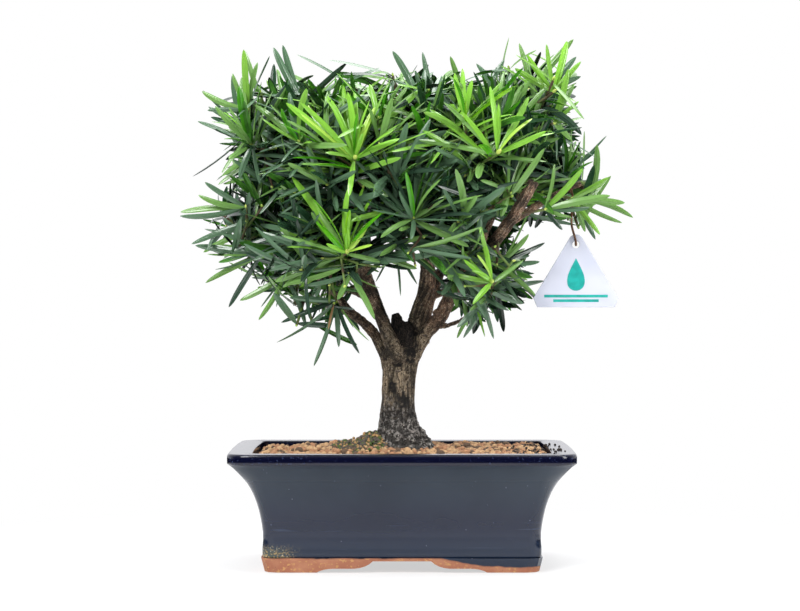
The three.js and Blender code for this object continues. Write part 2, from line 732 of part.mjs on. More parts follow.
// A leaf's section at mid length and its tip, from the bud it grows on. Its flat back is down.
function leafPoints(site, direction, up, length) {
  const side = up.clone().cross(direction);
  const at = (along, across, rise) => site.clone()
    .addScaledVector(direction, along * length)
    .addScaledVector(side, across * LEAF_WIDTH / 2)
    .addScaledVector(up, rise);
  const arch = LEAF_ARCH * length;
  const section = [at(0.45, 0, arch + LEAF_RIDGE), at(0.45, -1, arch), at(0.45, 1, arch)];
  return { section, tip: at(1, 0, -arch) };
}

function leafFits(space, leaf, site, grown) {
  const corners = [...leaf.section, leaf.tip];
  if (!corners.every((point) => withinSpace(space, point, GAP))) return false;
  const spots = [];
  for (let along = 0.2; along <= 1.01; along += 0.1) spots.push(site.clone().lerp(leaf.tip, along));
  if (!spots.every((spot) => clearOfLimbs(spot, LEAF_WIDTH / 2 + GAP))) return false;
  const crosses = (other) => spots.some((spot) => other.some((place) => {
    return place.distanceTo(spot) < LEAF_SPACING;
  }));
  if (grown.some(crosses)) return false;
  leaf.spots = spots;
  return true;
}

// A bud with leaves: each leaf grows out of one face of an icosahedron, so bud and leaves are
// one body from the start.
function rosetteSolid(space, site, axis, random, grown) {
  const bud = new THREE.IcosahedronGeometry(BUD_RADIUS, 0);
  bud.deleteAttribute('normal');
  bud.deleteAttribute('uv');
  const shell = mergeVertices(bud, 1e-4);
  const turn = new THREE.Quaternion().setFromUnitVectors(vec(0, 0, 1), axis);
  turn.multiply(new THREE.Quaternion().setFromAxisAngle(vec(0, 0, 1), random() * Math.PI * 2));
  const points = [];
  for (let i = 0; i < shell.attributes.position.count; i += 1) {
    points.push(vec(0, 0, 0).fromBufferAttribute(shell.attributes.position, i).applyQuaternion(turn));
  }
  const faces = [];
  const mine = [];
  for (let f = 0; f < shell.index.count; f += 3) {
    const face = [0, 1, 2].map((k) => shell.index.getX(f + k));
    const direction = face.reduce((sum, i) => sum.add(points[i]), vec(0, 0, 0)).normalize();
    const scatter = vec(random() - 0.5, random() - 0.5, random() - 0.5);
    direction.addScaledVector(scatter, LEAF_SCATTER).normalize();
    const length = LEAF_LENGTH * lerp(...LEAF_LENGTHS, random());
    const rise = direction.dot(axis);
    const up = axis.clone().addScaledVector(direction, -rise).normalize();
    const leaf = LEAF_TRIES.map((share) => leafPoints(site, direction, up, length * share))
      .find((one) => rise > LOWEST_LEAF && leafFits(space, one, site, grown));
    if (!leaf) {
      faces.push(face);
      continue;
    }
    mine.push(leaf.spots);
    const top = face.map((i) => points[i].dot(up));
    const first = top.indexOf(Math.max(...top));
    const base = [0, 1, 2].map((k) => face[(first + k) % 3]);
    const start = points.length;
    points.push(...[...leaf.section, leaf.tip].map((point) => point.clone().sub(site)));
    for (let k = 0; k < 3; k += 1) {
      const next = (k + 1) % 3;
      faces.push([base[k], base[next], start + next], [base[k], start + next, start + k]);
      faces.push([start + k, start + next, start + 3]);
    }
  }
  if (mine.length < FEWEST_LEAVES) return null;
  grown.push(...mine);
  const geometry = new THREE.BufferGeometry().setFromPoints(points.map((point) => point.add(site)));
  geometry.setIndex(faces.flat());
  return toSolid(geometry);
}

function twigSolid(stations, spin) {
  return toSolid(loft(ringsAlong(stations, 3, 0, spin)));
}

function twigFits(space, stations, ignored) {
  return stations.every(({ point, radius }, i) => {
    if (!withinSpace(space, point, radius + GAP, false)) return false;
    return i === 0 || clearOfLimbs(point, radius + GAP, ignored);
  });
}

// The sites of a mass's rosettes: the named ones, then an even spread that keeps its distance.
function rosetteSites(space, random) {
  const sites = space.mass.sites.map((site) => vec(...site));
  const offset = random() * Math.PI * 2;
  for (let i = 0; i < SPREAD_TRIES; i += 1) {
    const up = 1 - (2 * (i + 0.5)) / SPREAD_TRIES;
    const flat = Math.sqrt(1 - up * up);
    const turn = offset + i * GOLDEN_ANGLE;
    const direction = vec(flat * Math.cos(turn), flat * Math.sin(turn), up);
    const share = lerp(...SPREAD_SHARE, random());
    const [a, b, c] = space.mass.reach;
    const site = space.heart.clone().add(direction.multiply(vec(a, b, c)).multiplyScalar(share));
    if (!withinSpace(space, site, SITE_MARGIN)) continue;
    if (!clearOfLimbs(site, SITE_MARGIN)) continue;
    if (sites.some((other) => other.distanceTo(site) < SITE_SPACING)) continue;
    sites.push(site);
  }
  return sites;
}

function growMass(name, index) {
  const mass = MASSES[name];
  const random = makeRandom(1000 + 37 * index);
  const heart = vec(...mass.heart);
  const space = { mass, heart, planes: partingPlanes(name) };
  const limb = limbStations(LIMBS[mass.limb].path, LIMB_STATIONS);
  const tip = limb[LIMB_STATIONS].point;
  const tipWay = tip.clone().sub(limb[LIMB_STATIONS - 1].point).normalize();
  const start = tip.clone().addScaledVector(tipWay, -STEM_ROOT);
  const bend = tip.clone().addScaledVector(tipWay, STEM_RUN).lerp(heart, 0.25);
  const stemLine = new THREE.CatmullRomCurve3([start, bend, heart], false, 'centripetal');
  const stem = stemLine.getPoints(STEM_STEPS).map((point, i) => {
    return { point, radius: lerp(STEM_RADIUS, SHOOT_RADIUS, i / STEM_STEPS) };
  });
  if (!twigFits(space, stem, mass.limb)) console.warn(`${name}: its stem leaves its space`);
  const limbCut = limbSolid(LIMBS[mass.limb], GAP);
  let body = bySpin((spin) => mainBody(twigSolid(stem, spin).subtract(limbCut))).solid;
  const grown = [];
  for (const site of rosetteSites(space, random)) {
    const fork = stemLine.getPoint(lerp(...FORK_SHARE, random()));
    const middle = fork.clone().lerp(site, 0.5);
    middle.z -= SHOOT_SAG * fork.distanceTo(site);
    const line = new THREE.QuadraticBezierCurve3(fork, middle, site);
    const shoot = line.getPoints(2).map((point, i) => {
      return { point, radius: SHOOT_RADIUS * lerp(1, SHOOT_TAPER, i / 2) };
    });
    if (!twigFits(space, shoot, null)) continue;
    const outward = site.clone().sub(heart).normalize();
    const axis = line.getTangent(1).normalize().multiplyScalar(0.5).add(outward)
      .add(vec(0, 0, AXIS_RISE)).normalize();
    const rosette = rosetteSolid(space, site, axis, random, grown);
    if (!rosette) continue;
    const before = body;
    body = bySpin((spin) => before.add(rosette).add(twigSolid(shoot, spin))).solid;
    grown.push(line.getPoints(8));
  }
  return mainBody(body);
}

// ---------------------------------------------------------------- assembly
addPart('pot', toGeometry(makePot()), 'glaze');
addPart('pot_foot', toGeometry(makeFoot()), 'clay');
addPart('soil', toGeometry(makeSoil()), 'soil');

const trunk = toSolid(loft(trunkRings(0)));
addPart('trunk', toGeometry(trunk), 'bark');
addObstacles('trunk', TRUNK_EDGES.map(([z, left, right]) => {
  return { point: vec((left + right) / 2, 0, z), radius: (right - left) / 2 };
}));

// Each limb starts inside the one that carries it and is cut back to leave the gap.
const cutters = [toSolid(loft(trunkRings(GAP)))];
for (const [name, limb] of Object.entries(LIMBS)) {
  const { solid, spin } = bySpin((turn) => {
    const whole = limbSolid({ ...limb, spin: turn }, 0);
    return mainBody(cutters.reduce((rest, cutter) => rest.subtract(cutter), whole));
  });
  limb.spin = spin;
  addPart(name, toGeometry(solid), limb.finish ?? 'bark');
  cutters.push(limbSolid(limb, GAP));
  addObstacles(name, limbStations(limb.path, LIMB_STATIONS / 2));
}

const wireLine = wireStations();
addObstacles('tag_wire', wireLine);
addPart('tag', toGeometry(makeTag()), 'tag');
addPart('tag_wire', toGeometry(toSolid(loft(ringsAlong(wireLine, WIRE_SIDES, 0)))), 'wire');

Object.keys(MASSES).forEach((name, index) => {
  addPart(name, toGeometry(growMass(name, index)), 'foliage');
});

export default group;
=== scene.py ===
# %% [markdown]
# # A potted podocarpus bonsai
# The plant is a small tree with one trunk, a few boughs and a broad crown of long narrow
# leaves, in a glazed rectangular pot on a bare clay foot. A plain plastic tag hangs from the
# right-hand bough on a bent wire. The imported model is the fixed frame: it says where each
# limb, each mass of leaves and the pot are, and this lesson dresses them.

# %% Load the frame
import math

import bmesh
import bpy
import numpy as np
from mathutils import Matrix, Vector, noise
from numpy.linalg import norm


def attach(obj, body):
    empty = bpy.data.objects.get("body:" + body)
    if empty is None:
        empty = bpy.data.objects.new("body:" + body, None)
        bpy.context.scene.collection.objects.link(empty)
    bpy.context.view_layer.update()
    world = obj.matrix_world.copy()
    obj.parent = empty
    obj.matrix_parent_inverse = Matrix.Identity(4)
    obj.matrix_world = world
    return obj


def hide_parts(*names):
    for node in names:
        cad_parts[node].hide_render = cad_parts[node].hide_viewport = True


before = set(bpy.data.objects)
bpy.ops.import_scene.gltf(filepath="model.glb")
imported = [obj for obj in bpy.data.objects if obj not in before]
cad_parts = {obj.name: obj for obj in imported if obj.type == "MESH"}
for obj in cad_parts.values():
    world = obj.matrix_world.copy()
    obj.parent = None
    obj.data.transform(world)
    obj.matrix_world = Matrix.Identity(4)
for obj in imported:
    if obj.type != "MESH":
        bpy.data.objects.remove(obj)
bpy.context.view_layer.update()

# %% [markdown]
# ## Units and small helpers
# Blender works in metres, but a potter or a gardener thinks in millimetres. So every size
# below is in millimetres and is scaled once, where a mesh is made. Leaves and granules are
# made as numpy arrays first and joined: thousands of separate objects would be slow.

# %% Millimetres and mesh making
MM = 0.001
scene = bpy.context.scene


def add_object(name, data):
    thing = bpy.data.objects.new(name, data)
    scene.collection.objects.link(thing)
    return thing


def make_piece(name, points, faces, material, slot, replaces=(), smooth=True):
    """One mesh object from points in millimetres, riding on the plant."""
    mesh = bpy.data.meshes.new(name)
    mesh.from_pydata((np.asarray(points, float) * MM).tolist(), [], faces)
    mesh.validate()
    mesh.polygons.foreach_set("use_smooth", [smooth] * len(mesh.polygons))
    mesh.materials.append(material)
    piece = add_object(name, mesh)
    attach(piece, "root")
    if replaces:
        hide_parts(*replaces)
    print(f"{name}: {len(mesh.polygons)} faces")
    return piece


def add_attribute(piece, name, values, kind="FLOAT"):
    attribute = piece.data.attributes.new(name, kind, "POINT")
    key = "vector" if kind == "FLOAT_VECTOR" else "value"
    attribute.data.foreach_set(key, np.asarray(values, float).ravel())
print("a millimetre is", MM, "of a metre")

# %% [markdown]
# ## Seeded chance
# A tree grows by chance within a rule. The same small generator as in the part's source is
# written again here, so both draw the same numbers and put each rosette of leaves in the
# same place. It keeps to 32-bit whole numbers by masking.

# %% Random numbers
MASK = 0xFFFFFFFF


def make_random(seed):
    state = seed & MASK

    def draw():
        nonlocal state
        state = (state + 0x6D2B79F5) & MASK
        t = ((state ^ (state >> 15)) * (1 | state)) & MASK
        t = ((t + (((t ^ (t >> 7)) * (61 | t)) & MASK)) & MASK) ^ t
        return ((t ^ (t >> 14)) & MASK) / 4294967296

    return draw


def lerp(low, high, share):
    return low + (high - low) * share


def smooth(low, high, value):
    share = np.clip((value - low) / (high - low), 0, 1)
    return share * share * (3 - 2 * share)


def unit(v):
    return v / np.maximum(norm(v, axis=-1, keepdims=True), 1e-9)


print("first draws", [round(make_random(1000)(), 4)])

# %% [markdown]
# ## Camera
# A long lens from a little over two metres keeps the pot's sides upright, as in a catalogue
# picture. The camera stands level with the lower crown and looks very slightly down.

# %% Camera
LENS = 108.1
CAMERA_PLACE = (-1.7, -2155, 243.8)
CAMERA_DIP = 0.346

camera_data = bpy.data.cameras.new("camera")
camera_data.lens = LENS
camera_data.sensor_width = 36
camera_data.clip_end = 60
camera = add_object("camera", camera_data)
camera.location = [c * MM for c in CAMERA_PLACE]
camera.rotation_euler = (math.radians(90 - CAMERA_DIP), 0, 0)
scene.camera = camera
print("camera at", [round(c, 3) for c in camera.location])

# %% [markdown]
# ## Building materials
# A material is a small graph of nodes. A few helpers keep the graphs short: *put* feeds a
# socket with a link or with a plain value, *maths* and *remap* each add one node and give
# back what comes out of it. Effects that several finishes share are node groups, so that
# blotches on bark and on clay are the same tool with other numbers.

# %% Node helpers
def hex_colour(text):
    """A colour as a paint chart gives it, in the linear light that shaders use."""
    parts = [int(text[i:i + 2], 16) / 255 for i in (1, 3, 5)]
    linear = [c / 12.92 if c <= 0.04045 else ((c + 0.055) / 1.055) ** 2.4 for c in parts]
    return (*linear, 1)


def put(tree, socket, value):
    """Feeds a socket by a link from another one, or with a plain number or colour."""
    if isinstance(value, bpy.types.NodeSocket):
        tree.links.new(value, socket)
    else:
        socket.default_value = hex_colour(value) if isinstance(value, str) else value


def add_node(tree, kind, settings=None, **inputs):
    node = tree.nodes.new(kind)
    for key, value in (settings or {}).items():
        setattr(node, key, value)
    for key, value in inputs.items():
        put(tree, node.inputs[key.replace("_", " ")], value)
    return node


def feed(tree, kind, settings, *values):
    """A node whose inputs are fed in their own order, and its first output."""
    node = add_node(tree, kind, settings)
    for socket, value in zip(node.inputs, values):
        put(tree, socket, value)
    return node.outputs[0]


def maths(tree, operation, *values):
    return feed(tree, "ShaderNodeMath", {"operation": operation}, *values)


def remap(tree, value, low, high, first=0, last=1, curve="SMOOTHSTEP"):
    """Turns a run from low to high into one from first to last."""
    return feed(tree, "ShaderNodeMapRange", {"interpolation_type": curve}, value, low, high, first, last)


def mix_shaders(tree, share, first, second):
    return feed(tree, "ShaderNodeMixShader", None, share, first, second)


def mix_colours(tree, share, first, second):
    node = add_node(tree, "ShaderNodeMix", {"data_type": "RGBA"})
    for index, value in ((0, share), (6, first), (7, second)):
        put(tree, node.inputs[index], value)
    return node.outputs[2]


def place_vector(tree):
    """The piece's own coordinates, which stay put when the camera moves."""
    return add_node(tree, "ShaderNodeTexCoord").outputs["Object"]


def stored(tree, name):
    """The outputs of a value that is stored on the mesh's points."""
    return add_node(tree, "ShaderNodeAttribute", {"attribute_name": name}).outputs


def new_material(name, colour, roughness, **settings):
    """A material with one Principled shader whose plain values sit on its own sockets."""
    material = bpy.data.materials.new(name)
    material.use_nodes = True
    tree = material.node_tree
    shader = tree.nodes["Principled BSDF"]
    for key, value in {"Base_Color": colour, "Roughness": roughness, **settings}.items():
        put(tree, shader.inputs[key.replace("_", " ")], value)
    material.diffuse_color = hex_colour(colour)
    return material, tree, shader.inputs
print("mid grey in linear light", round(hex_colour("#808080")[0], 3))

# %% [markdown]
# ## Shared effects
# *Blotches* are soft cloudy patches, for stains and tone: after the place vector they take
# scale, detail and the low and high ends of the noise. *Specks* are small sharp dots, for
# grit and pits: scale, size and share. *Relief* is fine uneven height for a Bump node:
# scale, detail and roughness. The place vector may be the bark's own direction as well as
# plain space.

# %% Shared node groups
def new_group(name, output, **numbers):
    """An empty group that takes a place vector and some numbers and gives one value."""
    group = bpy.data.node_groups.new(name, "ShaderNodeTree")
    group.interface.new_socket("Vector", in_out="INPUT", socket_type="NodeSocketVector")
    for label, number in numbers.items():
        socket = group.interface.new_socket(label, in_out="INPUT", socket_type="NodeSocketFloat")
        socket.default_value = number
    group.interface.new_socket(output, in_out="OUTPUT", socket_type="NodeSocketFloat")
    return group, group.nodes.new("NodeGroupInput").outputs, group.nodes.new("NodeGroupOutput").inputs[0]


blotches, given, result = new_group("blotches", "Mask", Scale=40, Detail=3, Low=0.4, High=0.6)
cloud = add_node(blotches, "ShaderNodeTexNoise", Vector=given["Vector"], Scale=given["Scale"],
                 Detail=given["Detail"])
put(blotches, result, remap(blotches, cloud.outputs["Fac"], given["Low"], given["High"]))

specks, given, result = new_group("specks", "Mask", Scale=400, Size=0.2, Share=0.5)
cells = add_node(specks, "ShaderNodeTexVoronoi", Vector=given["Vector"], Scale=given["Scale"]).outputs
dots = maths(specks, "LESS_THAN", cells["Distance"], given["Size"])
split = add_node(specks, "ShaderNodeSeparateColor", Color=cells["Color"]).outputs["Red"]
chosen = maths(specks, "LESS_THAN", split, given["Share"])
put(specks, result, maths(specks, "MULTIPLY", dots, chosen))

relief, given, result = new_group("relief", "Height", Scale=200, Detail=4, Roughness=0.6)
height = add_node(relief, "ShaderNodeTexNoise", Vector=given["Vector"], Scale=given["Scale"],
                  Detail=given["Detail"], Roughness=given["Roughness"])
put(relief, result, height.outputs["Fac"])
print("groups", [g.name for g in bpy.data.node_groups])


def use_group(tree, group, where, *numbers):
    return feed(tree, "ShaderNodeGroup", {"node_tree": group}, where, *numbers)


def layered(tree, tone, where, *layers):
    """Lays effects over a tone, each as its group, its numbers and the colour it shows."""
    for group, numbers, colour in layers:
        tone = mix_colours(tree, use_group(tree, group, where, *numbers), tone, colour)
    return tone


def add_bump(tree, inputs, where, numbers, strength, distance):
    """Relief with its own numbers, as a Bump node before the shader."""
    height = use_group(tree, relief, where, *numbers)
    bump = add_node(tree, "ShaderNodeBump", Height=height, Strength=strength, Distance=distance)
    put(tree, inputs["Normal"], bump.outputs["Normal"])


def clouded_finish(name, colour, roughness, tone, cloud, other, bump=None, grain=False, **settings):
    """A plain finish: one tone clouded with another, and a fine relief."""
    material, tree, inputs = new_material(name, colour, roughness, **settings)
    where = stored(tree, "grain")["Vector"] if grain else place_vector(tree)
    put(tree, inputs["Base Color"], layered(tree, tone, where, (blotches, cloud, other)))
    if bump:
        add_bump(tree, inputs, where, *bump)
    return material

# %% [markdown]
# ## Studio
# The plant stands on a white sweep. A curved one would stand in the way when the camera goes
# round, so the floor is a flat disc that turns into the same white as the world a little way
# out. Mirrors see it lit only near the plant, as in a dark room. The world is bright behind
# and above and dim behind the camera: that dim end is what the glaze mirrors in its rim band.

# %% Floor
FLOOR_RADIUS = 9000
FLOOR_SIDES = 96
SHADOW_REACH = (0.2, 0.55)
NEAR_GLOW = 0.6
LIT_REACH = (0.34, 0.6)

turn = np.linspace(0, 2 * math.pi, FLOOR_SIDES, endpoint=False)
rim = np.stack([np.cos(turn), np.sin(turn), 0 * turn], 1) * FLOOR_RADIUS * MM
floor_mesh = bpy.data.meshes.new("studio_floor")
floor_mesh.from_pydata(rim.tolist(), [], [list(range(FLOOR_SIDES))])
floor = add_object("studio_floor", floor_mesh)
floor.location.z = -0.3 * MM

floor_finish, tree, inputs = new_material("floor_white", "#e6e6e6", 0.6, Specular_IOR_Level=0.2)
length = add_node(tree, "ShaderNodeVectorMath", {"operation": "LENGTH"})
put(tree, length.inputs[0], place_vector(tree))
away = length.outputs["Value"]
seen = add_node(tree, "ShaderNodeLightPath").outputs
glow = feed(tree, "ShaderNodeEmission", None, (1, 1, 1, 1), 1.0)
dark = feed(tree, "ShaderNodeEmission", None, (0.02, 0.02, 0.022, 1), 1.0)
faded = maths(tree, "MULTIPLY", remap(tree, away, *SHADOW_REACH, NEAR_GLOW), seen["Is Camera Ray"])
unlit = maths(tree, "MULTIPLY", remap(tree, away, *LIT_REACH), seen["Is Glossy Ray"])
lit = mix_shaders(tree, faded, tree.nodes["Principled BSDF"].outputs[0], glow)
put(tree, tree.nodes["Material Output"].inputs["Surface"], mix_shaders(tree, unlit, lit, dark))
floor_mesh.materials.append(floor_finish)
print("floor", 2 * FLOOR_RADIUS * MM, "m across")

# %% [markdown]
# Glossy glaze needs something to mirror. A world that changes with height and direction is
# lighter to render than a modelled room, and the camera itself sees plain white instead.

# %% World
ROOM_STOPS = [(0.0, 0.02), (0.1, 0.02), (0.26, 0.2), (0.6, 0.42), (1.0, 0.55)]
BACK_WHITE = (1.35, 1.35, 1.4, 1)

scene.view_settings.view_transform = "Standard"
world = bpy.data.worlds.new("studio")
scene.world = world
world.use_nodes = True
tree = world.node_tree
tree.nodes.clear()
direction = add_node(tree, "ShaderNodeTexCoord").outputs["Generated"]
parts = add_node(tree, "ShaderNodeSeparateXYZ", Vector=direction).outputs
shade = add_node(tree, "ShaderNodeValToRGB", Fac=parts["Z"])
stops = shade.color_ramp.elements
while len(stops) < len(ROOM_STOPS):
    stops.new(0.5)
for stop, (position, grey) in zip(stops, ROOM_STOPS):
    stop.position = position
    stop.color = (grey, grey, grey * 1.04, 1)
lit = mix_colours(tree, remap(tree, parts["Y"], -0.25, 0.5), shade.outputs["Color"], BACK_WHITE)
room = feed(tree, "ShaderNodeBackground", None, lit, 0.8)
backdrop = feed(tree, "ShaderNodeBackground", None, (1, 1, 1, 1), 1.0)
seen = add_node(tree, "ShaderNodeLightPath").outputs["Is Camera Ray"]
add_node(tree, "ShaderNodeOutputWorld", Surface=mix_shaders(tree, seen, room, backdrop))
print("room greys", [grey for _, grey in ROOM_STOPS])

# %% [markdown]
# Three soft boxes light the plant: a large one high in front on the left gives the leaves
# their white sheen, a narrower one on the right opens the shadows, and one overhead lifts
# the top of the crown. All point at the middle of the crown.

# %% Soft boxes
AIM = Vector((0, 0, 0.28))
SOFT_BOXES = {
    "key_box": ((-1.0, -1.5, 1.6), (1.3, 0.9), 60),
    "fill_box": ((1.5, -1.0, 1.0), (0.5, 1.2), 22),
    "top_box": ((0.15, 0.1, 1.75), (1.2, 1.0), 32),
}
for name, (place, size, power) in SOFT_BOXES.items():
    lamp = bpy.data.lights.new(name, "AREA")
    lamp.shape = "RECTANGLE"
    lamp.size, lamp.size_y = size
    lamp.energy = power
    holder = add_object(name, lamp)
    holder.location = place
    holder.rotation_euler = (AIM - Vector(place)).to_track_quat("-Z", "Y").to_euler()
print("soft boxes", list(SOFT_BOXES))

# %% [markdown]
# ## The pot
# The pot is slip-cast stoneware under a thick midnight-blue glaze: a waisted bowl with an
# upright rim band and a wide flat rim. Cast pots have no sharp edges, so the profile is a
# smooth curve through the named heights, and each corner gets enough steps to mirror the
# light without facets. A loft of rounded rectangles makes the whole bowl, outside and in.

# %% Pot sizes
POT_LENGTH, POT_DEPTH, POT_HEIGHT = 300, 215, 104
RIM_WIDTH, WALL = 21, 8
CORNER_RADIUS, RIM_CORNER, MOUTH_CORNER = 12, 19, 6
CORNER_STEPS, SIDE_STEPS = 10, 14
SIDE_BOW, GAP = 2, 0.3
FOOT_TOP = 12.5
BOWL_BASE = FOOT_TOP + GAP
BOWL_FLOOR = BOWL_BASE + 7
POT_PROFILE = np.array([
    [0, 119.5], [10, 121.9], [17, 123.4], [25, 122.2], [31, 120.9], [38, 121.5], [46, 122.7],
    [55, 124.6], [63, 127], [71, 130.2], [79, 134.8], [86, 140.4], [92, 146],
    [96, 149.4], [102.5, 150], [104, 148.5],
])
PLAIN_FOOT = np.array([[0, 119], [13, 119.8], [31, 120.9]])  # the long faces' middles have no flare
FLARE_FROM = 0.84


def half_length(z):
    return float(np.interp(z, POT_PROFILE[:, 0], POT_PROFILE[:, 1]))


def bowl_inset(z):
    return max(WALL, half_length(z) - (POT_LENGTH / 2 - RIM_WIDTH))


def rounded_rectangle(half_x, half_y, radius, z):
    """Points round a rectangle with round corners, with a few more along each side."""
    arcs, ring = [], []
    for corner, (sx, sy) in enumerate(((1, 1), (-1, 1), (-1, -1), (1, -1))):
        angle = (corner + np.arange(CORNER_STEPS + 1) / CORNER_STEPS) * math.pi / 2
        arcs.append(np.stack([sx * (half_x - radius) + radius * np.cos(angle),
                              sy * (half_y - radius) + radius * np.sin(angle)], 1))
    share = np.arange(1, SIDE_STEPS + 1)[:, None] / (SIDE_STEPS + 1)
    for arc, following in zip(arcs, arcs[1:] + arcs[:1]):
        ring += [arc, lerp(arc[-1], following[0], share)]
    ring = np.concatenate(ring)
    return np.column_stack([ring, np.full(len(ring), float(z))])


def pot_ring(half, z, radius=CORNER_RADIUS):
    """One level of the pot. It flares at the foot's corners only, and bows a little at the rim."""
    half_y = half - (POT_LENGTH - POT_DEPTH) / 2
    ring = rounded_rectangle(half, half_y, radius, z)
    far_x, far_y = np.abs(ring[:, 0]), np.abs(ring[:, 1])
    side = np.sign(ring)
    bow = SIDE_BOW * smooth(60, 100, z) * (1 - (ring[:, 1] / half_y) ** 2)
    if z < PLAIN_FOOT[-1, 0]:
        flare = max(0, half_length(z) - np.interp(z, PLAIN_FOOT[:, 0], PLAIN_FOOT[:, 1]))
        at_corner = np.minimum(smooth(FLARE_FROM, 0.98, far_x / half),
                               smooth(FLARE_FROM - 0.06, 0.98, far_y / half_y))
        ring[:, 0] -= side[:, 0] * flare * (1 - at_corner) * (far_x > half - radius)
        ring[:, 1] -= side[:, 1] * flare * (far_y > half_y - radius)
    ring[:, 0] += side[:, 0] * bow * smooth(half * 0.7, half, np.abs(ring[:, 0]))
    return ring


def join_lofts(lofts):
    """Points and faces of closed tubes, each of them a list of rings with as many points."""
    points, faces, start = [], [], 0
    for rings in lofts:
        size, last = len(rings[0]), start + (len(rings) - 1) * len(rings[0])
        for r in range(start, last, size):
            following = [*range(r + 1, r + size), r]
            faces += [[r + i, j, j + size, r + size + i] for i, j in enumerate(following)]
        faces += [list(range(start, start + size))[::-1], list(range(last, last + size))]
        points.extend(rings)
        start = last + size
    return np.concatenate(points), faces


print("half length half way up", half_length(POT_HEIGHT / 2))

# %% [markdown]
# The glaze is nearly black-blue by itself. The grey of the wall is the pale floor mirrored in
# it, because the wall leans outwards; the upright rim band has nothing pale to mirror and
# stays dark. So the finish is a dark base under a strong, slightly blurred reflection, and
# the base is painted lighter up the wall as a painted reflection of that floor. It breaks to
# an ochre grit where it thins out at the foot's corners, and it is faintly scratched and dusty.

# %% Glaze
def glaze_nodes(tree):
    """The glaze's colour and roughness, for the bowl and for where it runs onto the foot."""
    where = place_vector(tree)
    axes = add_node(tree, "ShaderNodeSeparateXYZ", Vector=where).outputs
    x, z = axes["X"], axes["Z"]
    near_foot = remap(tree, z, 0.014, 0.05, 1, 0)
    under_band = remap(tree, z, 0.0935, 0.0955, 1, 0)
    clouds = use_group(tree, blotches, where, 14, 3, 0.35, 0.7)
    deep = mix_colours(tree, clouds, "#040b24", "#081028")
    painted_reflection_upper = mix_colours(tree, clouds, "#182431", "#202c39")
    # painted reflection: the base turns lighter up the wall towards the rim, as the mirrored floor does
    body = mix_colours(tree, remap(tree, z, 0.03, 0.088), deep, painted_reflection_upper)
    scratch = use_group(tree, blotches, where, 420, 5, 0.6, 0.68)
    rubbed = remap(tree, maths(tree, "ABSOLUTE", x), 0.05, 0.15, 0.1, 0.75, "LINEAR")
    band = mix_colours(tree, maths(tree, "MULTIPLY", scratch, rubbed), "#04061d", "#3c4866")
    tone = mix_colours(tree, under_band, band, body)
    tone = mix_colours(tree, near_foot, tone, "#132034")
    flat = add_node(tree, "ShaderNodeMapping", Vector=where, Scale=(0.05, 0.05, 1)).outputs["Vector"]
    rings = use_group(tree, blotches, flat, 260, 2, 0.64, 0.74)
    tone = mix_colours(tree, maths(tree, "MULTIPLY", rings, near_foot), tone, "#3f4d66")
    tone = layered(tree, tone, where, (specks, (380, 0.15, 0.035), "#5d6478"))
    left, low = remap(tree, x, -0.119, -0.084, 1, 0), remap(tree, z, 0.0125, 0.026, 1, 0)
    worn = maths(tree, "MULTIPLY", left, low)
    tone = mix_colours(tree, worn, tone, "#414b45")
    for group, numbers, colour in ((blotches, (520, 4, 0.5, 0.6), "#a58a58"),
                                   (specks, (560, 0.3, 0.4), "#d8d2b4")):
        grit = maths(tree, "MULTIPLY", use_group(tree, group, where, *numbers), worn)
        tone = mix_colours(tree, grit, tone, colour)
    dull = maths(tree, "MULTIPLY", remap(tree, z, 0.074, 0.09), under_band)
    rough = remap(tree, maths(tree, "MAXIMUM", dull, worn), 0, 1, 0.15, 0.5, "LINEAR")
    return tone, rough, where, x, z


glaze, tree, inputs = new_material("midnight_glaze", "#0a0e2c", 0.15, IOR=1.46)
tone, rough, where, *_ = glaze_nodes(tree)
put(tree, inputs["Base Color"], tone)
put(tree, inputs["Roughness"], rough)
add_bump(tree, inputs, where, (60, 2, 0.5), 0.1, 0.0006)
print("glaze nodes", len(tree.nodes))

# %% [markdown]
# The bowl could be a box with bevels, but a stack of rings keeps its waist and lip exact. Two
# drain holes go through its floor with a Boolean modifier, which cuts cleanly where a loft
# would need many odd faces.

# %% Pot bowl
UNDERSIDE = [(half_length(BOWL_BASE) - 0.3, BOWL_BASE - 0.2),
             (half_length(BOWL_BASE) - 0.05, BOWL_BASE + 0.3)]
BAND = [(146.4, 92.4), (147.8, 93.5), (148.9, 94.3), (149.6, 94.9), (149.95, 95.7), (150, 98), (150, 100),
        (149.9, 101.8), (149.6, 102.8), (149, 103.5), (148.2, 103.9), (147.2, 104)]
MOUTH = POT_LENGTH / 2 - RIM_WIDTH
LIP = [(MOUTH + 10, 103.9, 10), (MOUTH + 1.2, 103.8, 8), (MOUTH + 0.3, 103.5, 7),
       (MOUTH, 102.8, MOUTH_CORNER), (MOUTH, 99, MOUTH_CORNER)]
DRAIN_RADIUS, DRAIN_PLACE = 9, 60


def pot_outline():
    """(half length, height, corner radius) from the bowl's underside, out, over and down inside."""
    rows = [(half, z, CORNER_RADIUS) for half, z in UNDERSIDE]
    for z in np.arange(BOWL_BASE + 1.6, 91.5, 1.6):
        half = np.mean([half_length(z + d) for d in (-3, -1.5, 0, 1.5, 3)])
        rows.append((half, z, lerp(CORNER_RADIUS, RIM_CORNER, smooth(60, 96, z))))
    rows += [(half, z, RIM_CORNER) for half, z in BAND] + LIP
    for z in np.arange(94, BOWL_FLOOR + 2, -6):
        rows.append((half_length(z) - bowl_inset(z), z, MOUTH_CORNER))
    return rows + [(half_length(BOWL_FLOOR) - WALL, BOWL_FLOOR, MOUTH_CORNER)]


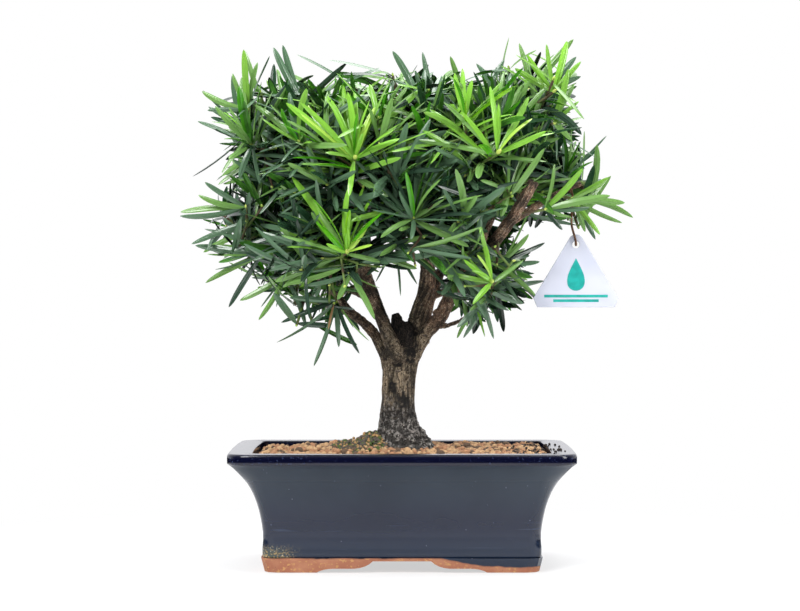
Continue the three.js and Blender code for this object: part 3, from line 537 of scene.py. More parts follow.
def cut_round_holes(piece, places, radius, depth, sides, turn=None):
    """Round holes through a piece at places in millimetres, by a Boolean modifier."""
    shape = bmesh.new()
    for place in places:
        made = bmesh.ops.create_cone(shape, cap_ends=True, segments=sides, radius1=radius * MM,
                                     radius2=radius * MM, depth=depth * MM)
        if turn is not None:
            bmesh.ops.rotate(shape, verts=made["verts"], matrix=turn)
        bmesh.ops.translate(shape, verts=made["verts"], vec=Vector(place) * MM)
    mesh = bpy.data.meshes.new("cutter")
    shape.to_mesh(mesh)
    shape.free()
    cutter = add_object("cutter", mesh)
    piece.modifiers.new("holes", "BOOLEAN").object = cutter
    return cutter


def apply_modifiers(piece, cutter=None):
    bpy.context.view_layer.update()
    graph = bpy.context.evaluated_depsgraph_get()
    made = bpy.data.meshes.new_from_object(piece.evaluated_get(graph))
    old = piece.data
    piece.modifiers.clear()
    piece.data = made
    made.name = old.name
    bpy.data.meshes.remove(old)
    if cutter:
        bpy.data.objects.remove(cutter)


points, faces = join_lofts([[pot_ring(*row) for row in pot_outline()]])
bowl = make_piece("glazed_bowl", points, faces, glaze, "glaze", ["pot"])
drains = [(side * DRAIN_PLACE, 0, (BOWL_FLOOR + 11) / 2) for side in (-1, 1)]
apply_modifiers(bowl, cut_round_holes(bowl, drains, DRAIN_RADIUS, BOWL_FLOOR + 1, 40))
print("bowl faces after the drains", len(bowl.data.polygons))

# %% [markdown]
# ## The bare clay foot
# A potter wipes the glaze off the foot so that it doesn't stick to the kiln shelf. What is
# left is open salmon-pink clay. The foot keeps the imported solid's shape with its stepped
# arches, and the material does the rest. The wiped line isn't level: over the right-hand feet
# the glaze runs nearly to the ground with a brown edge, so the glaze nodes are used again.

# %% Clay
GLAZE_LINE = (0.0128, 0.0052)
CLAY_ROUGHNESS = 0.8

clay, tree, inputs = new_material("bare_clay", "#c8826a", CLAY_ROUGHNESS)
glaze_tone, glaze_rough, where, x, z = glaze_nodes(tree)
tone = layered(tree, "#9a6249", where, (blotches, (60, 5, 0.38, 0.66), "#a97558"),
               (blotches, (330, 5, 0.56, 0.66), "#b78a58"), (specks, (620, 0.2, 0.08), "#714232"))
wave = use_group(tree, relief, where, 55, 2, 0.5)
ripple = maths(tree, "MULTIPLY_ADD", wave, 0.004, z)
above = maths(tree, "SUBTRACT", ripple, remap(tree, x, 0.024, 0.078, *GLAZE_LINE))
glazed = remap(tree, above, 0.0019, 0.0022, curve="LINEAR")
edge = remap(tree, above, 0.0009, 0.002, curve="LINEAR")
tone = mix_colours(tree, edge, tone, "#6f4a3a")
put(tree, inputs["Base Color"], mix_colours(tree, glazed, tone, glaze_tone))
rough = add_node(tree, "ShaderNodeMix", {"data_type": "FLOAT"})
for index, value in ((0, glazed), (2, CLAY_ROUGHNESS), (3, glaze_rough)):
    put(tree, rough.inputs[index], value)
put(tree, inputs["Roughness"], rough.outputs[0])
add_bump(tree, inputs, where, (900, 3, 0.7), 0.4, 0.0004)
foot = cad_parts["pot_foot"]
foot.data.materials.clear()
foot.data.materials.append(clay)
print("clay nodes", len(tree.nodes))

# %% [markdown]
# ## The soil
# The pot is filled with baked clay granules, a gardener's free-draining soil: lumpy ochre
# pieces 4 to 8 mm across. Under them lies a solid bed, so no gap shows the pot's bottom.
# Each granule is a small ball with its own uneven shape; all share one set of faces, so
# numpy can stack a thousand of them at once.

# %% Soil bed
SOIL_TOP, SOIL_MOUND, MOUND_SPREAD, MOUND_X = 99, 4, 42, -12
SOIL_CELLS, SOIL_CELL, SOIL_HEAP, SOIL_EDGE, SOIL_SEED = (9, 6), (29, 29.2), 3.2, 1.5, 900
TRUNK_FOOT = (-33.5, 34.5)
BED_DEPTH = 2.2


def even_soil(x, y):
    away = (x - MOUND_X) ** 2 + y ** 2
    mound = SOIL_MOUND * np.exp(-away / (2 * MOUND_SPREAD ** 2))
    return SOIL_TOP + mound + 0.7 * np.sin(x / 17) * np.cos(y / 13)


def heap_lattice():
    """How far the soil stands off its even level at the corners and the middles of its cells."""
    draw = make_random(SOIL_SEED)
    cells_x, cells_y = SOIL_CELLS

    def stand(i, j, side):
        x, y = (i - cells_x / 2) * SOIL_CELL[0], (j - cells_y / 2) * SOIL_CELL[1]
        free = smooth(TRUNK_FOOT[1] - 4, TRUNK_FOOT[1] + 12, math.hypot(x, y))
        edge = SOIL_EDGE if i % cells_x == 0 or j % cells_y == 0 else 0
        return side * free * SOIL_HEAP / 2 * (0.5 + draw()) - edge

    corners = np.array([[stand(i, j, -1) for i in range(cells_x + 1)] for j in range(cells_y + 1)])
    middles = np.array([[stand(i + 0.5, j + 0.5, 1) for i in range(cells_x)] for j in range(cells_y)])
    return corners, middles


HEAP_CORNERS, HEAP_MIDDLES = heap_lattice()
MOUNDS = [  # x, y, height and the two spreads of what is heaped on the packed soil
    (-23, -8, 13, 9, 12), (-42, -12, 8, 12, 16), (-66, 20, 4, 22, 30), (70, 30, 3, 34, 34),
    (112, 0, 2, 16, 60),
]


def soil_height(x, y):
    """The soil's surface: a mound round the trunk and low heaps, each round a cell's middle."""
    x, y = np.asarray(x, float), np.asarray(y, float)
    across = np.clip(x / SOIL_CELL[0] + SOIL_CELLS[0] / 2, 0, SOIL_CELLS[0] - 1e-6)
    deep = np.clip(y / SOIL_CELL[1] + SOIL_CELLS[1] / 2, 0, SOIL_CELLS[1] - 1e-6)
    i, j = across.astype(int), deep.astype(int)
    u, v = across - i, deep - j
    c = HEAP_CORNERS
    level = lerp(lerp(c[j, i], c[j, i + 1], u), lerp(c[j + 1, i], c[j + 1, i + 1], u), v)
    mean = (c[j, i] + c[j, i + 1] + c[j + 1, i] + c[j + 1, i + 1]) / 4
    peak = 1 - np.maximum(np.abs(2 * u - 1), np.abs(2 * v - 1))
    heaped = sum(height * np.exp(-((x - x0) / wide) ** 2 / 2 - ((y - y0) / deep) ** 2 / 2)
                 for x0, y0, height, wide, deep in MOUNDS)
    return even_soil(x, y) + level + (HEAP_MIDDLES[j, i] - mean) * peak + heaped


soil_finish = clouded_finish("fine_soil", "#3f2c1e", 0.95, "#3a2617", (60, 4, 0.4, 0.62), "#7d5533",
                             ((500, 4, 0.7), 0.8, 0.001))
bed_rings = [pot_ring(half_length(z) - bowl_inset(z) - 0.4, z, MOUTH_CORNER)
             for z in (BOWL_FLOOR + GAP, 40, 60, 80, 94)]
top_ring = bed_rings[-1]
for share in np.linspace(0.995, 0.05, 22):
    ring = top_ring * [share, share, 1]
    ring[:, 2] = soil_height(ring[:, 0], ring[:, 1]) - BED_DEPTH
    bed_rings.append(ring)
make_piece("soil_bed", *join_lofts([bed_rings]), soil_finish, "soil", ["soil"])

# %% Granule shape
def ball_mesh(levels):
    """Points and triangles of a ball, from a subdivided icosahedron."""
    shape = bmesh.new()
    bmesh.ops.create_icosphere(shape, subdivisions=levels, radius=1)
    points = np.array([v.co for v in shape.verts])
    faces = np.array([[v.index for v in f.verts] for f in shape.faces])
    shape.free()
    return points, faces


def scatter_lumps(places, sizes, seed, unevenness=0.22, flatness=0.9, levels=2):
    """Many uneven balls as one array of points and faces."""
    chance = np.random.default_rng(seed)
    ball, faces = ball_mesh(levels)
    count = len(places)
    lumps = ball[None] * (1 + unevenness * chance.normal(size=(count, 3, 1)).clip(-1.5, 1.5)[:, :1])
    for _ in range(4):
        way = unit(chance.normal(size=(count, 1, 3)))
        dent = np.clip((ball[None] * way).sum(-1) - 0.45, 0, 1)
        lumps = lumps * (1 - dent[..., None] * chance.uniform(0.1, 0.6, (count, 1, 1)))
    spin = chance.uniform(0, 2 * math.pi, count)
    stretch = np.stack([chance.uniform(0.85, 1.25, count), chance.uniform(0.8, 1.1, count),
                        np.full(count, flatness) * chance.uniform(0.85, 1.15, count)], 1)
    lumps = lumps * stretch[:, None]
    x = lumps[..., 0] * np.cos(spin)[:, None] - lumps[..., 1] * np.sin(spin)[:, None]
    y = lumps[..., 0] * np.sin(spin)[:, None] + lumps[..., 1] * np.cos(spin)[:, None]
    lumps = np.stack([x, y, lumps[..., 2]], -1) * sizes[:, None, None] + places[:, None]
    joined = faces[None] + (np.arange(count) * len(ball))[:, None, None]
    return lumps.reshape(-1, 3), joined.reshape(-1, 3).tolist()
print("points of one ball", len(ball_mesh(2)[0]))

# %% [markdown]
# The granules fall in a loose grid with each one nudged, so that they lie close but not in
# rows. They are dealt into three heaps with their own plain colour, ochre, orange-brown and
# dark, because a pattern over thousands of lumps would only blur. Most granules that lie low
# among the others go to the dark heap as painted shade.

# %% Granules
def granule_finish(name, colour):
    pale = tuple(min(1, c * 1.35) for c in hex_colour(colour)[:3]) + (1,)
    return clouded_finish(name, colour, 0.92, colour, (300, 3, 0.35, 0.7), pale,
                          ((1500, 3, 0.7), 0.6, 0.0005))


chance = np.random.default_rng(11)
STEP = 5.1
grid_x, grid_y = np.meshgrid(np.arange(-127, 127.1, STEP), np.arange(-84, 84.1, STEP * 0.9))
grid_x[1::2] += STEP / 2
spots = np.stack([grid_x.ravel(), grid_y.ravel()], 1)
spots += chance.uniform(-1.3, 1.3, spots.shape)
mouth_y = MOUTH - (POT_LENGTH - POT_DEPTH) / 2
sizes = chance.uniform(1.9, 3.2, len(spots))
inside = (np.abs(spots[:, 0]) < MOUTH - sizes - 0.4) & (np.abs(spots[:, 1]) < mouth_y - sizes - 0.4)
near_trunk = np.hypot(spots[:, 0], spots[:, 1] * 1.05) < 30


def on_moss(x, y):
    return ((x + 38) / 24) ** 2 + ((y + 14) / 30) ** 2 < 1


free = inside & ~near_trunk & ~(on_moss(spots[:, 0], spots[:, 1]) & (chance.random(len(spots)) < 0.85))
spots, sizes = spots[free], sizes[free]
levels = soil_height(spots[:, 0], spots[:, 1]) + 1.5 - sizes * 0.5 + chance.uniform(-1.2, 1.2, len(spots))
places = np.column_stack([spots, levels])
heap = chance.choice(3, len(spots), p=[0.5, 0.36, 0.14])
# painted shade: granules that lie low among the others mostly go to the dark heap
low_in_shade = levels - soil_height(spots[:, 0], spots[:, 1]) + 0.5 * sizes < 0.8
heap[low_in_shade & (chance.random(len(spots)) < 0.7)] = 2
GRANULES = [("granules_ochre", "#ab8a67"), ("granules_orange", "#9a7254"), ("granules_dark", "#5a4839")]
for index, (name, colour) in enumerate(GRANULES):
    lumps = scatter_lumps(places[heap == index], sizes[heap == index], 20 + index)
    make_piece(name, *lumps, granule_finish(name, colour), "soil")

# %% [markdown]
# Moss and old compost have washed up against the left of the trunk in a small mound, and
# some dark crumbs lie at the right-hand end and on the rim. They are the same lumps, smaller.

# %% Moss and crumbs
chance = np.random.default_rng(17)
MOSS_COUNT = 2600
angle, share = chance.uniform(0, 2 * math.pi, MOSS_COUNT), np.sqrt(chance.random(MOSS_COUNT))
moss_x, moss_y = -38 + 27 * share * np.cos(angle), -14 + 33 * share * np.sin(angle)
keep = np.hypot(moss_x, moss_y) > 19
moss_z = soil_height(moss_x, moss_y) - 0.6 + chance.normal(size=MOSS_COUNT) * 0.8
moss = np.column_stack([moss_x, moss_y, moss_z])[keep]
kinds = chance.choice(3, len(moss), p=[0.24, 0.5, 0.26])
MOSS = [("moss_tufts", "#47562a"), ("compost_grains", "#4d473f"), ("mound_grit", "#9c7c52")]
for index, (name, colour) in enumerate(MOSS):
    mine = moss[kinds == index]
    lumps = scatter_lumps(mine, chance.uniform(0.7, 1.9, len(mine)), 30 + index, levels=1)
    make_piece(name, *lumps, granule_finish(name, colour), "soil")

IN_POT, ON_RIM = 420, 16
crumb_x = np.concatenate([chance.uniform(94, 127, IN_POT), chance.uniform(130, 143, ON_RIM)])
crumb_y = np.concatenate([chance.uniform(-84, 84, IN_POT), chance.uniform(-95, 40, ON_RIM)])
on_soil = soil_height(crumb_x, crumb_y) + chance.uniform(0.6, 2.6, IN_POT + ON_RIM)
crumb_z = np.where(crumb_x < MOUTH, on_soil, POT_HEIGHT + 0.2)
lumps = scatter_lumps(np.column_stack([crumb_x, crumb_y, crumb_z]),
                      chance.uniform(0.6, 1.5, IN_POT + ON_RIM), 40, levels=1)
make_piece("dark_crumbs", *lumps, granule_finish("dark_crumb", "#2b241f"), "soil")

# %% [markdown]
# ## Limbs as curves
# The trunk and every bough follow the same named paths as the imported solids. The paths go
# through a smooth curve that keeps its spacing even where points lie close together, a
# centripetal Catmull-Rom spline. It is written out here because the leaves, the bark and
# the wire all need a point at any share of the way.

# %% Curves
def curve_point(points, share):
    """A point on the smooth centripetal curve through a list of points."""
    points = np.asarray(points, float)
    place = (len(points) - 1) * share
    index = min(int(place), len(points) - 2)
    weight = place - index
    padded = np.vstack([2 * points[0] - points[1], points, 2 * points[-1] - points[-2]])
    p0, p1, p2, p3 = padded[index:index + 4]
    d0, d1, d2 = (np.sum((b - a) ** 2) ** 0.25 for a, b in ((p0, p1), (p1, p2), (p2, p3)))
    d1 = d1 if d1 > 1e-4 else 1.0
    d0 = d0 if d0 > 1e-4 else d1
    d2 = d2 if d2 > 1e-4 else d1
    t1 = ((p1 - p0) / d0 - (p2 - p0) / (d0 + d1) + (p2 - p1) / d1) * d1
    t2 = ((p2 - p1) / d1 - (p3 - p1) / (d1 + d2) + (p3 - p2) / d2) * d1
    c2 = -3 * p1 + 3 * p2 - 2 * t1 - t2
    c3 = 2 * p1 - 2 * p2 + t1 + t2
    return p1 + t1 * weight + c2 * weight ** 2 + c3 * weight ** 3


def limb_stations(path, steps):
    """Points and radii along a limb, root first."""
    path = np.asarray(path, float)
    shares = np.arange(steps + 1) / steps
    points = np.array([curve_point(path[:, :3], share) for share in shares])
    radii = np.interp(shares * (len(path) - 1), np.arange(len(path)), path[:, 3])
    return points, radii


def fine_stations(path):
    return limb_stations(path, 8 * (len(path) - 1))


def tube_rings(points, radii, sides):
    """Rings of points square to a line, carried along without twist."""
    points = np.asarray(points, float)
    ahead = np.concatenate([points[1:], points[-1:]]) - np.concatenate([points[:1], points[:-1]])
    tangents = unit(ahead)
    side = np.cross([0, 1, 0], tangents[0])
    if norm(side) < 0.2:
        side = np.cross([1, 0, 0], tangents[0])
    angles = np.arange(sides) / sides * 2 * math.pi
    rings = []
    for point, radius, tangent in zip(points, radii, tangents):
        side = unit(side - tangent * side.dot(tangent))
        other = np.cross(tangent, side)
        rings.append(point + radius * (np.cos(angles)[:, None] * side + np.sin(angles)[:, None] * other))
    return rings


print("half way along a bend", curve_point([[0, 0, 0], [1, 0, 1], [3, 0, 1]], 0.5))

# %% [markdown]
# Each limb is a row of points with a radius: x, y, z and how thick it is there, root first.

# %% Limb paths
LIMB_STATIONS = 24
LIMBS = {
    "cut_stub": [[-1, -3, 178, 7.5], [-1.5, -4, 196, 7.8], [-3.5, -3, 212, 7.2], [-6.2, -2, 224, 4]],
    "bough_centre": [[8, 4, 180, 11], [14.5, 5, 213, 10.4], [21.5, 3, 240, 8.4], [23.4, 0, 267, 6.8],
                     [22.5, -2, 294, 5.4], [19, -3, 322, 4.4], [12, -3, 350, 3.4]],
    "bough_right": [[12, -3, 184, 8], [33, -14, 219, 6.8], [46.5, -25, 246, 6.2], [66, -41, 271, 5.8],
                    [84, -55, 291, 5.6], [99, -66, 312, 5.2], [114, -78, 339, 5]],
    "bough_left_front": [[-3, -6, 178, 5.6], [-9, -13, 195, 6.4], [-16, -13, 212, 5.4],
                         [-25, -10, 232, 4.8], [-32.5, -4, 254, 5.6], [-35, 1, 272, 6.4],
                         [-40, -6, 292, 4.6], [-44, -14, 312, 3.4]],
    "bough_left_outer": [[-11, 2, 180, 7], [-25, 7, 205, 5], [-41, 5, 220.5, 4.2],
                         [-58, -12, 229, 3.5], [-74, -24, 234, 2.8]],
    "bough_back_left": [[-5, 8, 182, 7], [-14, 26, 208, 6], [-23, 46, 234, 5], [-34, 66, 262, 4.4],
                        [-50, 78, 292, 3.6]],
    "bough_back_right": [[6, 10, 182, 7], [17, 30, 212, 6], [26, 50, 238, 5], [38, 66, 266, 4.4],
                         [54, 78, 294, 3.6]],
    "limb_right_low": [[28, -12, 211, 2.6], [40, -19, 213, 2.3], [54, -30, 219, 2.1], [66, -40, 228, 2]],
    "limb_low_front": [[-34, -1, 266, 4], [-42, -22, 266, 3.2], [-52, -42, 268, 2.6]],
    "limb_left": [[-36, 1, 275, 4], [-62, 2, 300, 3.6], [-88, -2, 326, 3.1], [-100, -6, 345, 2.6]],
    "limb_left_low": [[-40, 5, 220, 3.2], [-60, 20, 240, 3], [-82, 16, 262, 2.8], [-100, 4, 276, 2.6]],
    "limb_front_middle": [[23, -1, 281, 3.6], [15, -22, 291, 2.8], [9, -44, 296, 2.3]],
    "limb_front_right": [[22, -3, 300, 4], [36, -26, 318, 3.2], [46, -44, 332, 2.6]],
    "limb_back_top": [[19, -2, 318, 3.8], [16, 28, 340, 3.2], [12, 46, 356, 2.6]],
    "limb_top_right": [[60, -36, 264, 4.2], [76, -12, 300, 3.6], [90, -4, 336, 3.1], [98, -4, 356, 2.7]],
    "limb_right": [[92, -60, 302, 3.8], [114, -46, 316, 3.2], [136, -42, 329, 2.8], [158, -37, 339, 2.4]],
    "limb_back_left_low": [[-23, 46, 234, 3.4], [-42, 58, 242, 2.9], [-60, 66, 250, 2.5]],
    "limb_back_right_low": [[26, 50, 238, 3.4], [46, 58, 246, 2.9], [66, 64, 254, 2.5]],
}
print(len(LIMBS), "limbs")

# %% [markdown]
# ## Wood as one skin
# On the tree the boughs run into the trunk without a seam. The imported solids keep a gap
# between limbs, so here each limb starts a little deeper and all lofts go into one mesh. A
# voxel remesh turns that pile of tubes into a single skin with soft forks, and a smoothing
# pass rounds the steps that the voxels leave.

# %% Trunk rings
TRUNK_EDGES = [
    [104.5, -30.5, 31], [109.5, -27.8, 26.6], [115, -25, 21.6], [121, -22.4, 17.2],
    [128, -20, 13.6], [137, -19.1, 12], [148, -18.2, 11.7], [160, -17.8, 11.8],
    [173, -17.9, 13.3], [184, -19.4, 15.4], [192, -18.2, 14.4], [196, -12, 9],
]
TRUNK_SIDES, TRUNK_DEPTH, ROOT_COUNT = 48, 0.96, 5
SURFACE_Z = float(even_soil(0, 0)) + GAP


TRUNK_ROWS = [[SURFACE_Z, *TRUNK_FOOT], *TRUNK_EDGES]


def trunk_rings():
    rings = []
    for z, left, right in [[SURFACE_Z - 3, *TRUNK_FOOT], *TRUNK_ROWS]:
        flare = 1 - smooth(SURFACE_Z, SURFACE_Z + 26, z)
        angle = np.arange(TRUNK_SIDES) / TRUNK_SIDES * 2 * math.pi
        lobe = 1 + flare * 0.1 * (np.cos(ROOT_COUNT * angle) - 1)
        furrow = 1 + 0.02 * np.cos(3 * angle + z / 9)
        reach = (right - left) / 2 * lobe * furrow
        middle = (left + right) / 2
        rings.append(np.stack([middle + reach * np.cos(angle), TRUNK_DEPTH * reach * np.sin(angle),
                               0 * angle + z], 1))
    return rings


ROOTED = {  # rows that take the place of a limb's first one, to begin it deeper in the trunk
    "bough_right": [[2, 1, 168, 7.2], [10, -3, 186, 7.2], [20.5, -8, 205, 6.6]],
    "bough_centre": [[2.5, 2, 168, 8], [5.5, 3, 181, 9]],
    "bough_left_outer": [[-4, 1, 166, 6.3], [-11, 2, 180, 7]],
    "bough_left_front": [[2, -8.5, 171, 5], [-3, -6, 178, 5.6]],
    "bough_back_left": [[-2, 3, 168, 6.3], [-5, 8, 182, 7]],
    "bough_back_right": [[2, 4, 168, 6.3], [6, 10, 182, 7]],
}


def rooted(name):
    return ROOTED[name] + LIMBS[name][1:] if name in ROOTED else LIMBS[name]


living = [rooted(name) for name in LIMBS if name != "cut_stub"]
print(len(living), "living limbs, the longest of", max(len(path) for path in living), "rows")

# %% [markdown]
# ## Bark
# Podocarpus bark is thin and splits into fine strips along the limb. Relief that follows the
# world's upright would run across a leaning bough, so each point of the skin gets a *grain*
# vector: how far along its limb it lies and where around it. Noise read with the grain makes
# fissures that run the right way, and the same vector drives the colour.

# %% Grain along the limbs
def grain_field(points, paths):
    """For each point the distance along its limb, the offset from its middle and the limb's radius."""
    trunk = np.array([[(l + r) / 2, 0, z, (r - l) / 2] for z, l, r in TRUNK_ROWS])
    lines = [(trunk[:, :3], trunk[:, 3]), *map(fine_stations, paths)]
    best, along = np.full(len(points), 1e9), np.zeros(len(points))
    offset, tangent = np.zeros((2, len(points), 3))
    for number, (line, radii) in enumerate(lines):
        steps = np.concatenate([[0], np.cumsum(norm(np.diff(line, axis=0), axis=1))])
        for i in range(len(line) - 1):
            way = line[i + 1] - line[i]
            share = np.clip((points - line[i]) @ way / (way @ way), 0, 1)
            foot_point = line[i] + share[:, None] * way
            away = points - foot_point
            depth = norm(away, axis=1) / lerp(radii[i], radii[i + 1], share)
            nearer = depth < best
            best[nearer] = depth[nearer]
            along[nearer] = lerp(steps[i], steps[i + 1], share[nearer]) + 70 * number
            offset[nearer] = away[nearer]
            tangent[nearer] = unit(way)
    return along, offset, tangent


OLD_BARK_TOP = 142


def bark_relief(piece, paths, depth, seed):
    """Pushes a skin in and out along its normals by fissures, knots and a little grit."""
    mesh = piece.data
    points, normals = np.zeros((2, len(mesh.vertices) * 3))
    mesh.vertices.foreach_get("co", points)
    mesh.vertices.foreach_get("normal", normals)
    points, normals = points.reshape(-1, 3) / MM, normals.reshape(-1, 3)
    along, offset, tangent = grain_field(points, paths)
    grain = offset / 6 + tangent * along[:, None] / 34
    push = np.zeros(len(points))
    for i in range(len(points)):
        g = Vector(grain[i])
        strips = 1 - abs(noise.noise(g * 1.9 + Vector((seed, 0, 0)))) * 2
        fine = noise.noise(g * 5.2 + Vector((0, seed, 0)))
        lumps = noise.noise(Vector(points[i] / 14) + Vector((0, 0, seed)))
        push[i] = depth * (0.75 * strips * strips - 0.5 + 0.3 * fine + 0.8 * lumps)
        if points[i, 2] < OLD_BARK_TOP:
            warts = noise.noise(Vector(points[i] / 5.5)) + 0.5 * noise.noise(Vector(points[i] / 2.4))
            push[i] += 1.9 * warts * (1 - smooth(SURFACE_Z + 8, OLD_BARK_TOP, points[i, 2]))
    points = points + normals * push[:, None]
    mesh.vertices.foreach_set("co", (points * MM).ravel())
    mesh.update()
    add_attribute(piece, "grain", grain, "FLOAT_VECTOR")
    add_attribute(piece, "depth", push / depth)
    return points
print("old bark up to", OLD_BARK_TOP, "mm")

# %% [markdown]
# On the young wood pale fibres lie over cracks, darkened by painted shade where the relief
# sinks in; near the ground the bark is grey and crumbled. Values stored on the points say
# where each begins, so no image is needed.

# %% Bark material
bark, tree, inputs = new_material("strip_bark", "#9a846a", 0.88)
grain, where = stored(tree, "grain")["Vector"], place_vector(tree)
aged, warm_and_lit, depth, soot = (stored(tree, name)["Fac"] for name in ("aged", "warm_and_lit", "depth", "soot"))
fibres = use_group(tree, blotches, grain, 12, 4, 0.46, 0.6)
tone = layered(tree, "#37291e", grain, (blotches, (5.5, 5, 0.42, 0.57), "#9a846a"))
tone = mix_colours(tree, fibres, tone, "#c9b697")
tone = layered(tree, tone, where, (blotches, (300, 5, 0.54, 0.62), "#4b3b2c"))
# warm reddish bark, which also serves as painted light on the upper front-left bough
tone = mix_colours(tree, warm_and_lit, tone, mix_colours(tree, fibres, "#6b4f3b", "#d2ab8c"))
tone = layered(tree, tone, where, (specks, (560, 0.34, 0.3), "#d6c3a4"))
old = layered(tree, "#2c2927", where, (blotches, (430, 6, 0.42, 0.6), "#a09a94"),
              (specks, (640, 0.32, 0.32), "#d0cbc2"))
tone = mix_colours(tree, aged, tone, old)
# painted shade: the skin darkens where the relief pushes it in, down in the cracks
tone = mix_colours(tree, remap(tree, depth, -0.5, 0.3, 0.85, 0, "LINEAR"), tone, "#17120e")
put(tree, inputs["Base Color"], mix_colours(tree, soot, tone, "#0b0a0a"))
add_bump(tree, inputs, grain, (14, 6, 0.7), 1, 0.0022)
print("bark nodes", len(tree.nodes))

# %% [markdown]
# A stack of tubes is piled up, remeshed, smoothed and pushed by the relief. Soot, warmth and
# age are worked out from each point's place and stored for the material to read; the warm
# tone also lights up the upper front-left bough as painted light.

# %% Wood skin
VOXEL = 1.15
KNOBS = [  # short stubs of lost twigs
    [[11, -4, 186, 4.6], [14.5, -5, 188, 3.8], [17.4, -5, 188.5, 2.4]],
    [[16, -6, 200, 4.5], [21, -8, 199, 3.2], [24.4, -9, 197.6, 1.8]],
    [[30, -20, 226, 4], [33, -23, 222, 2.6], [34.5, -24, 219.6, 1.4]],
]
ELBOW = [[-1, -13, 180, 4.5], [-4, -14.5, 187, 6.2], [-9, -15, 198, 6.4], [-15, -14, 211, 5.6]]
SOOT_SPOTS = [  # x, z and the two radii of the black patches on the front of the trunk
    [6, 206, 9, 12], [8, 192, 5.5, 12], [7, 183, 4.5, 6], [-3, 177.5, 5, 2.4], [-8, 158, 4.5, 7],
    [1, 145, 6, 9], [-18, 104.5, 9.5, 5.5],
]


def wood_skin(name, paths, material, slot, replaces, depth, seed, trunk=()):
    tubes = [tube_rings(*fine_stations(path), 20) for path in paths]
    piece = make_piece(name, *join_lofts([*trunk, *tubes]), material, slot, replaces)
    remesh = piece.modifiers.new("skin", "REMESH")
    remesh.mode = "VOXEL"
    remesh.voxel_size = VOXEL * MM
    remesh.use_smooth_shade = True
    rounding = piece.modifiers.new("rounding", "SMOOTH")
    rounding.iterations = 4
    apply_modifiers(piece)
    if not piece.data.materials:
        piece.data.materials.append(material)
    points = bark_relief(piece, paths, depth, seed)
    soot = np.zeros(len(points))
    for spot_x, spot_z, wide, tall in SOOT_SPOTS:
        away = np.hypot((points[:, 0] - spot_x) / wide, (points[:, 2] - spot_z) / tall)
        soot = np.maximum(soot, (1 - smooth(0.6, 1.1, away)) * (points[:, 1] < 2))
    x, y, z = points.T
    warm_and_lit = smooth(14, 30, x) * smooth(196, 220, z)
    warm_and_lit = np.maximum(warm_and_lit, smooth(-16, -26, x) * smooth(192, 204, z) * (z < 240) * 0.7)
    # painted light: the upper front-left bough takes the lighter warm tan as if it were lit
    warm_and_lit = np.maximum(warm_and_lit, smooth(206, 226, z) * (x < 0) * (y < 0) * 0.6)
    ragged = np.array([noise.noise(Vector(p / 3)) + 0.8 * noise.noise(Vector(p / [1.3, 1.3, 2.6]))
                       for p in points])
    add_attribute(piece, "soot", np.clip(soot * 1.35 + ragged * 1.1 * (soot > 0.02) - 0.28, 0, 0.93))
    add_attribute(piece, "warm_and_lit", warm_and_lit)
    add_attribute(piece, "aged", np.clip((1 - smooth(126, 162, points[:, 2])) * 1.15 + ragged * 0.5, 0, 1))
    print(name, len(piece.data.polygons), "faces in the skin")
    return piece


wood_nodes = ["trunk", *(name for name in LIMBS if name != "cut_stub")]
wood_skin("bark_skin", [*living, *KNOBS, ELBOW], bark, "bark", wood_nodes, 0.85, 3, [trunk_rings()])

# %% [markdown]
# The stub of an old cut bough stands black in the fork. It is charred-looking dead wood
# with a rough rounded top, so it is its own skin with a much darker finish.

# %% Dead stub
DEAD_MASS = [  # a thick stump that leans behind the stub
    [3, -5, 174, 4], [4, -6, 188, 6], [4.5, -5, 200, 7.4], [4.5, -3, 210, 7.4], [3.5, -3, 216.5, 4.2],
]
dead = clouded_finish("dead_wood", "#15110e", 0.9, "#090807", (8, 5, 0.46, 0.64), "#473c34",
                      ((14, 5, 0.7), 1, 0.0015), grain=True)
wood_skin("dead_stub", [LIMBS["cut_stub"], DEAD_MASS], dead, "deadwood", ["cut_stub"], 0.8, 9)

# %% [markdown]
# ## Where leaves may grow
# Each mass of leaves has a heart, a reach and a limb that carries it. A leaf stays on its
# own side of the planes that part it from its neighbours, inside the crown's outline, out of
# the box round the tag, and clear of every limb. These tests take many points at once.

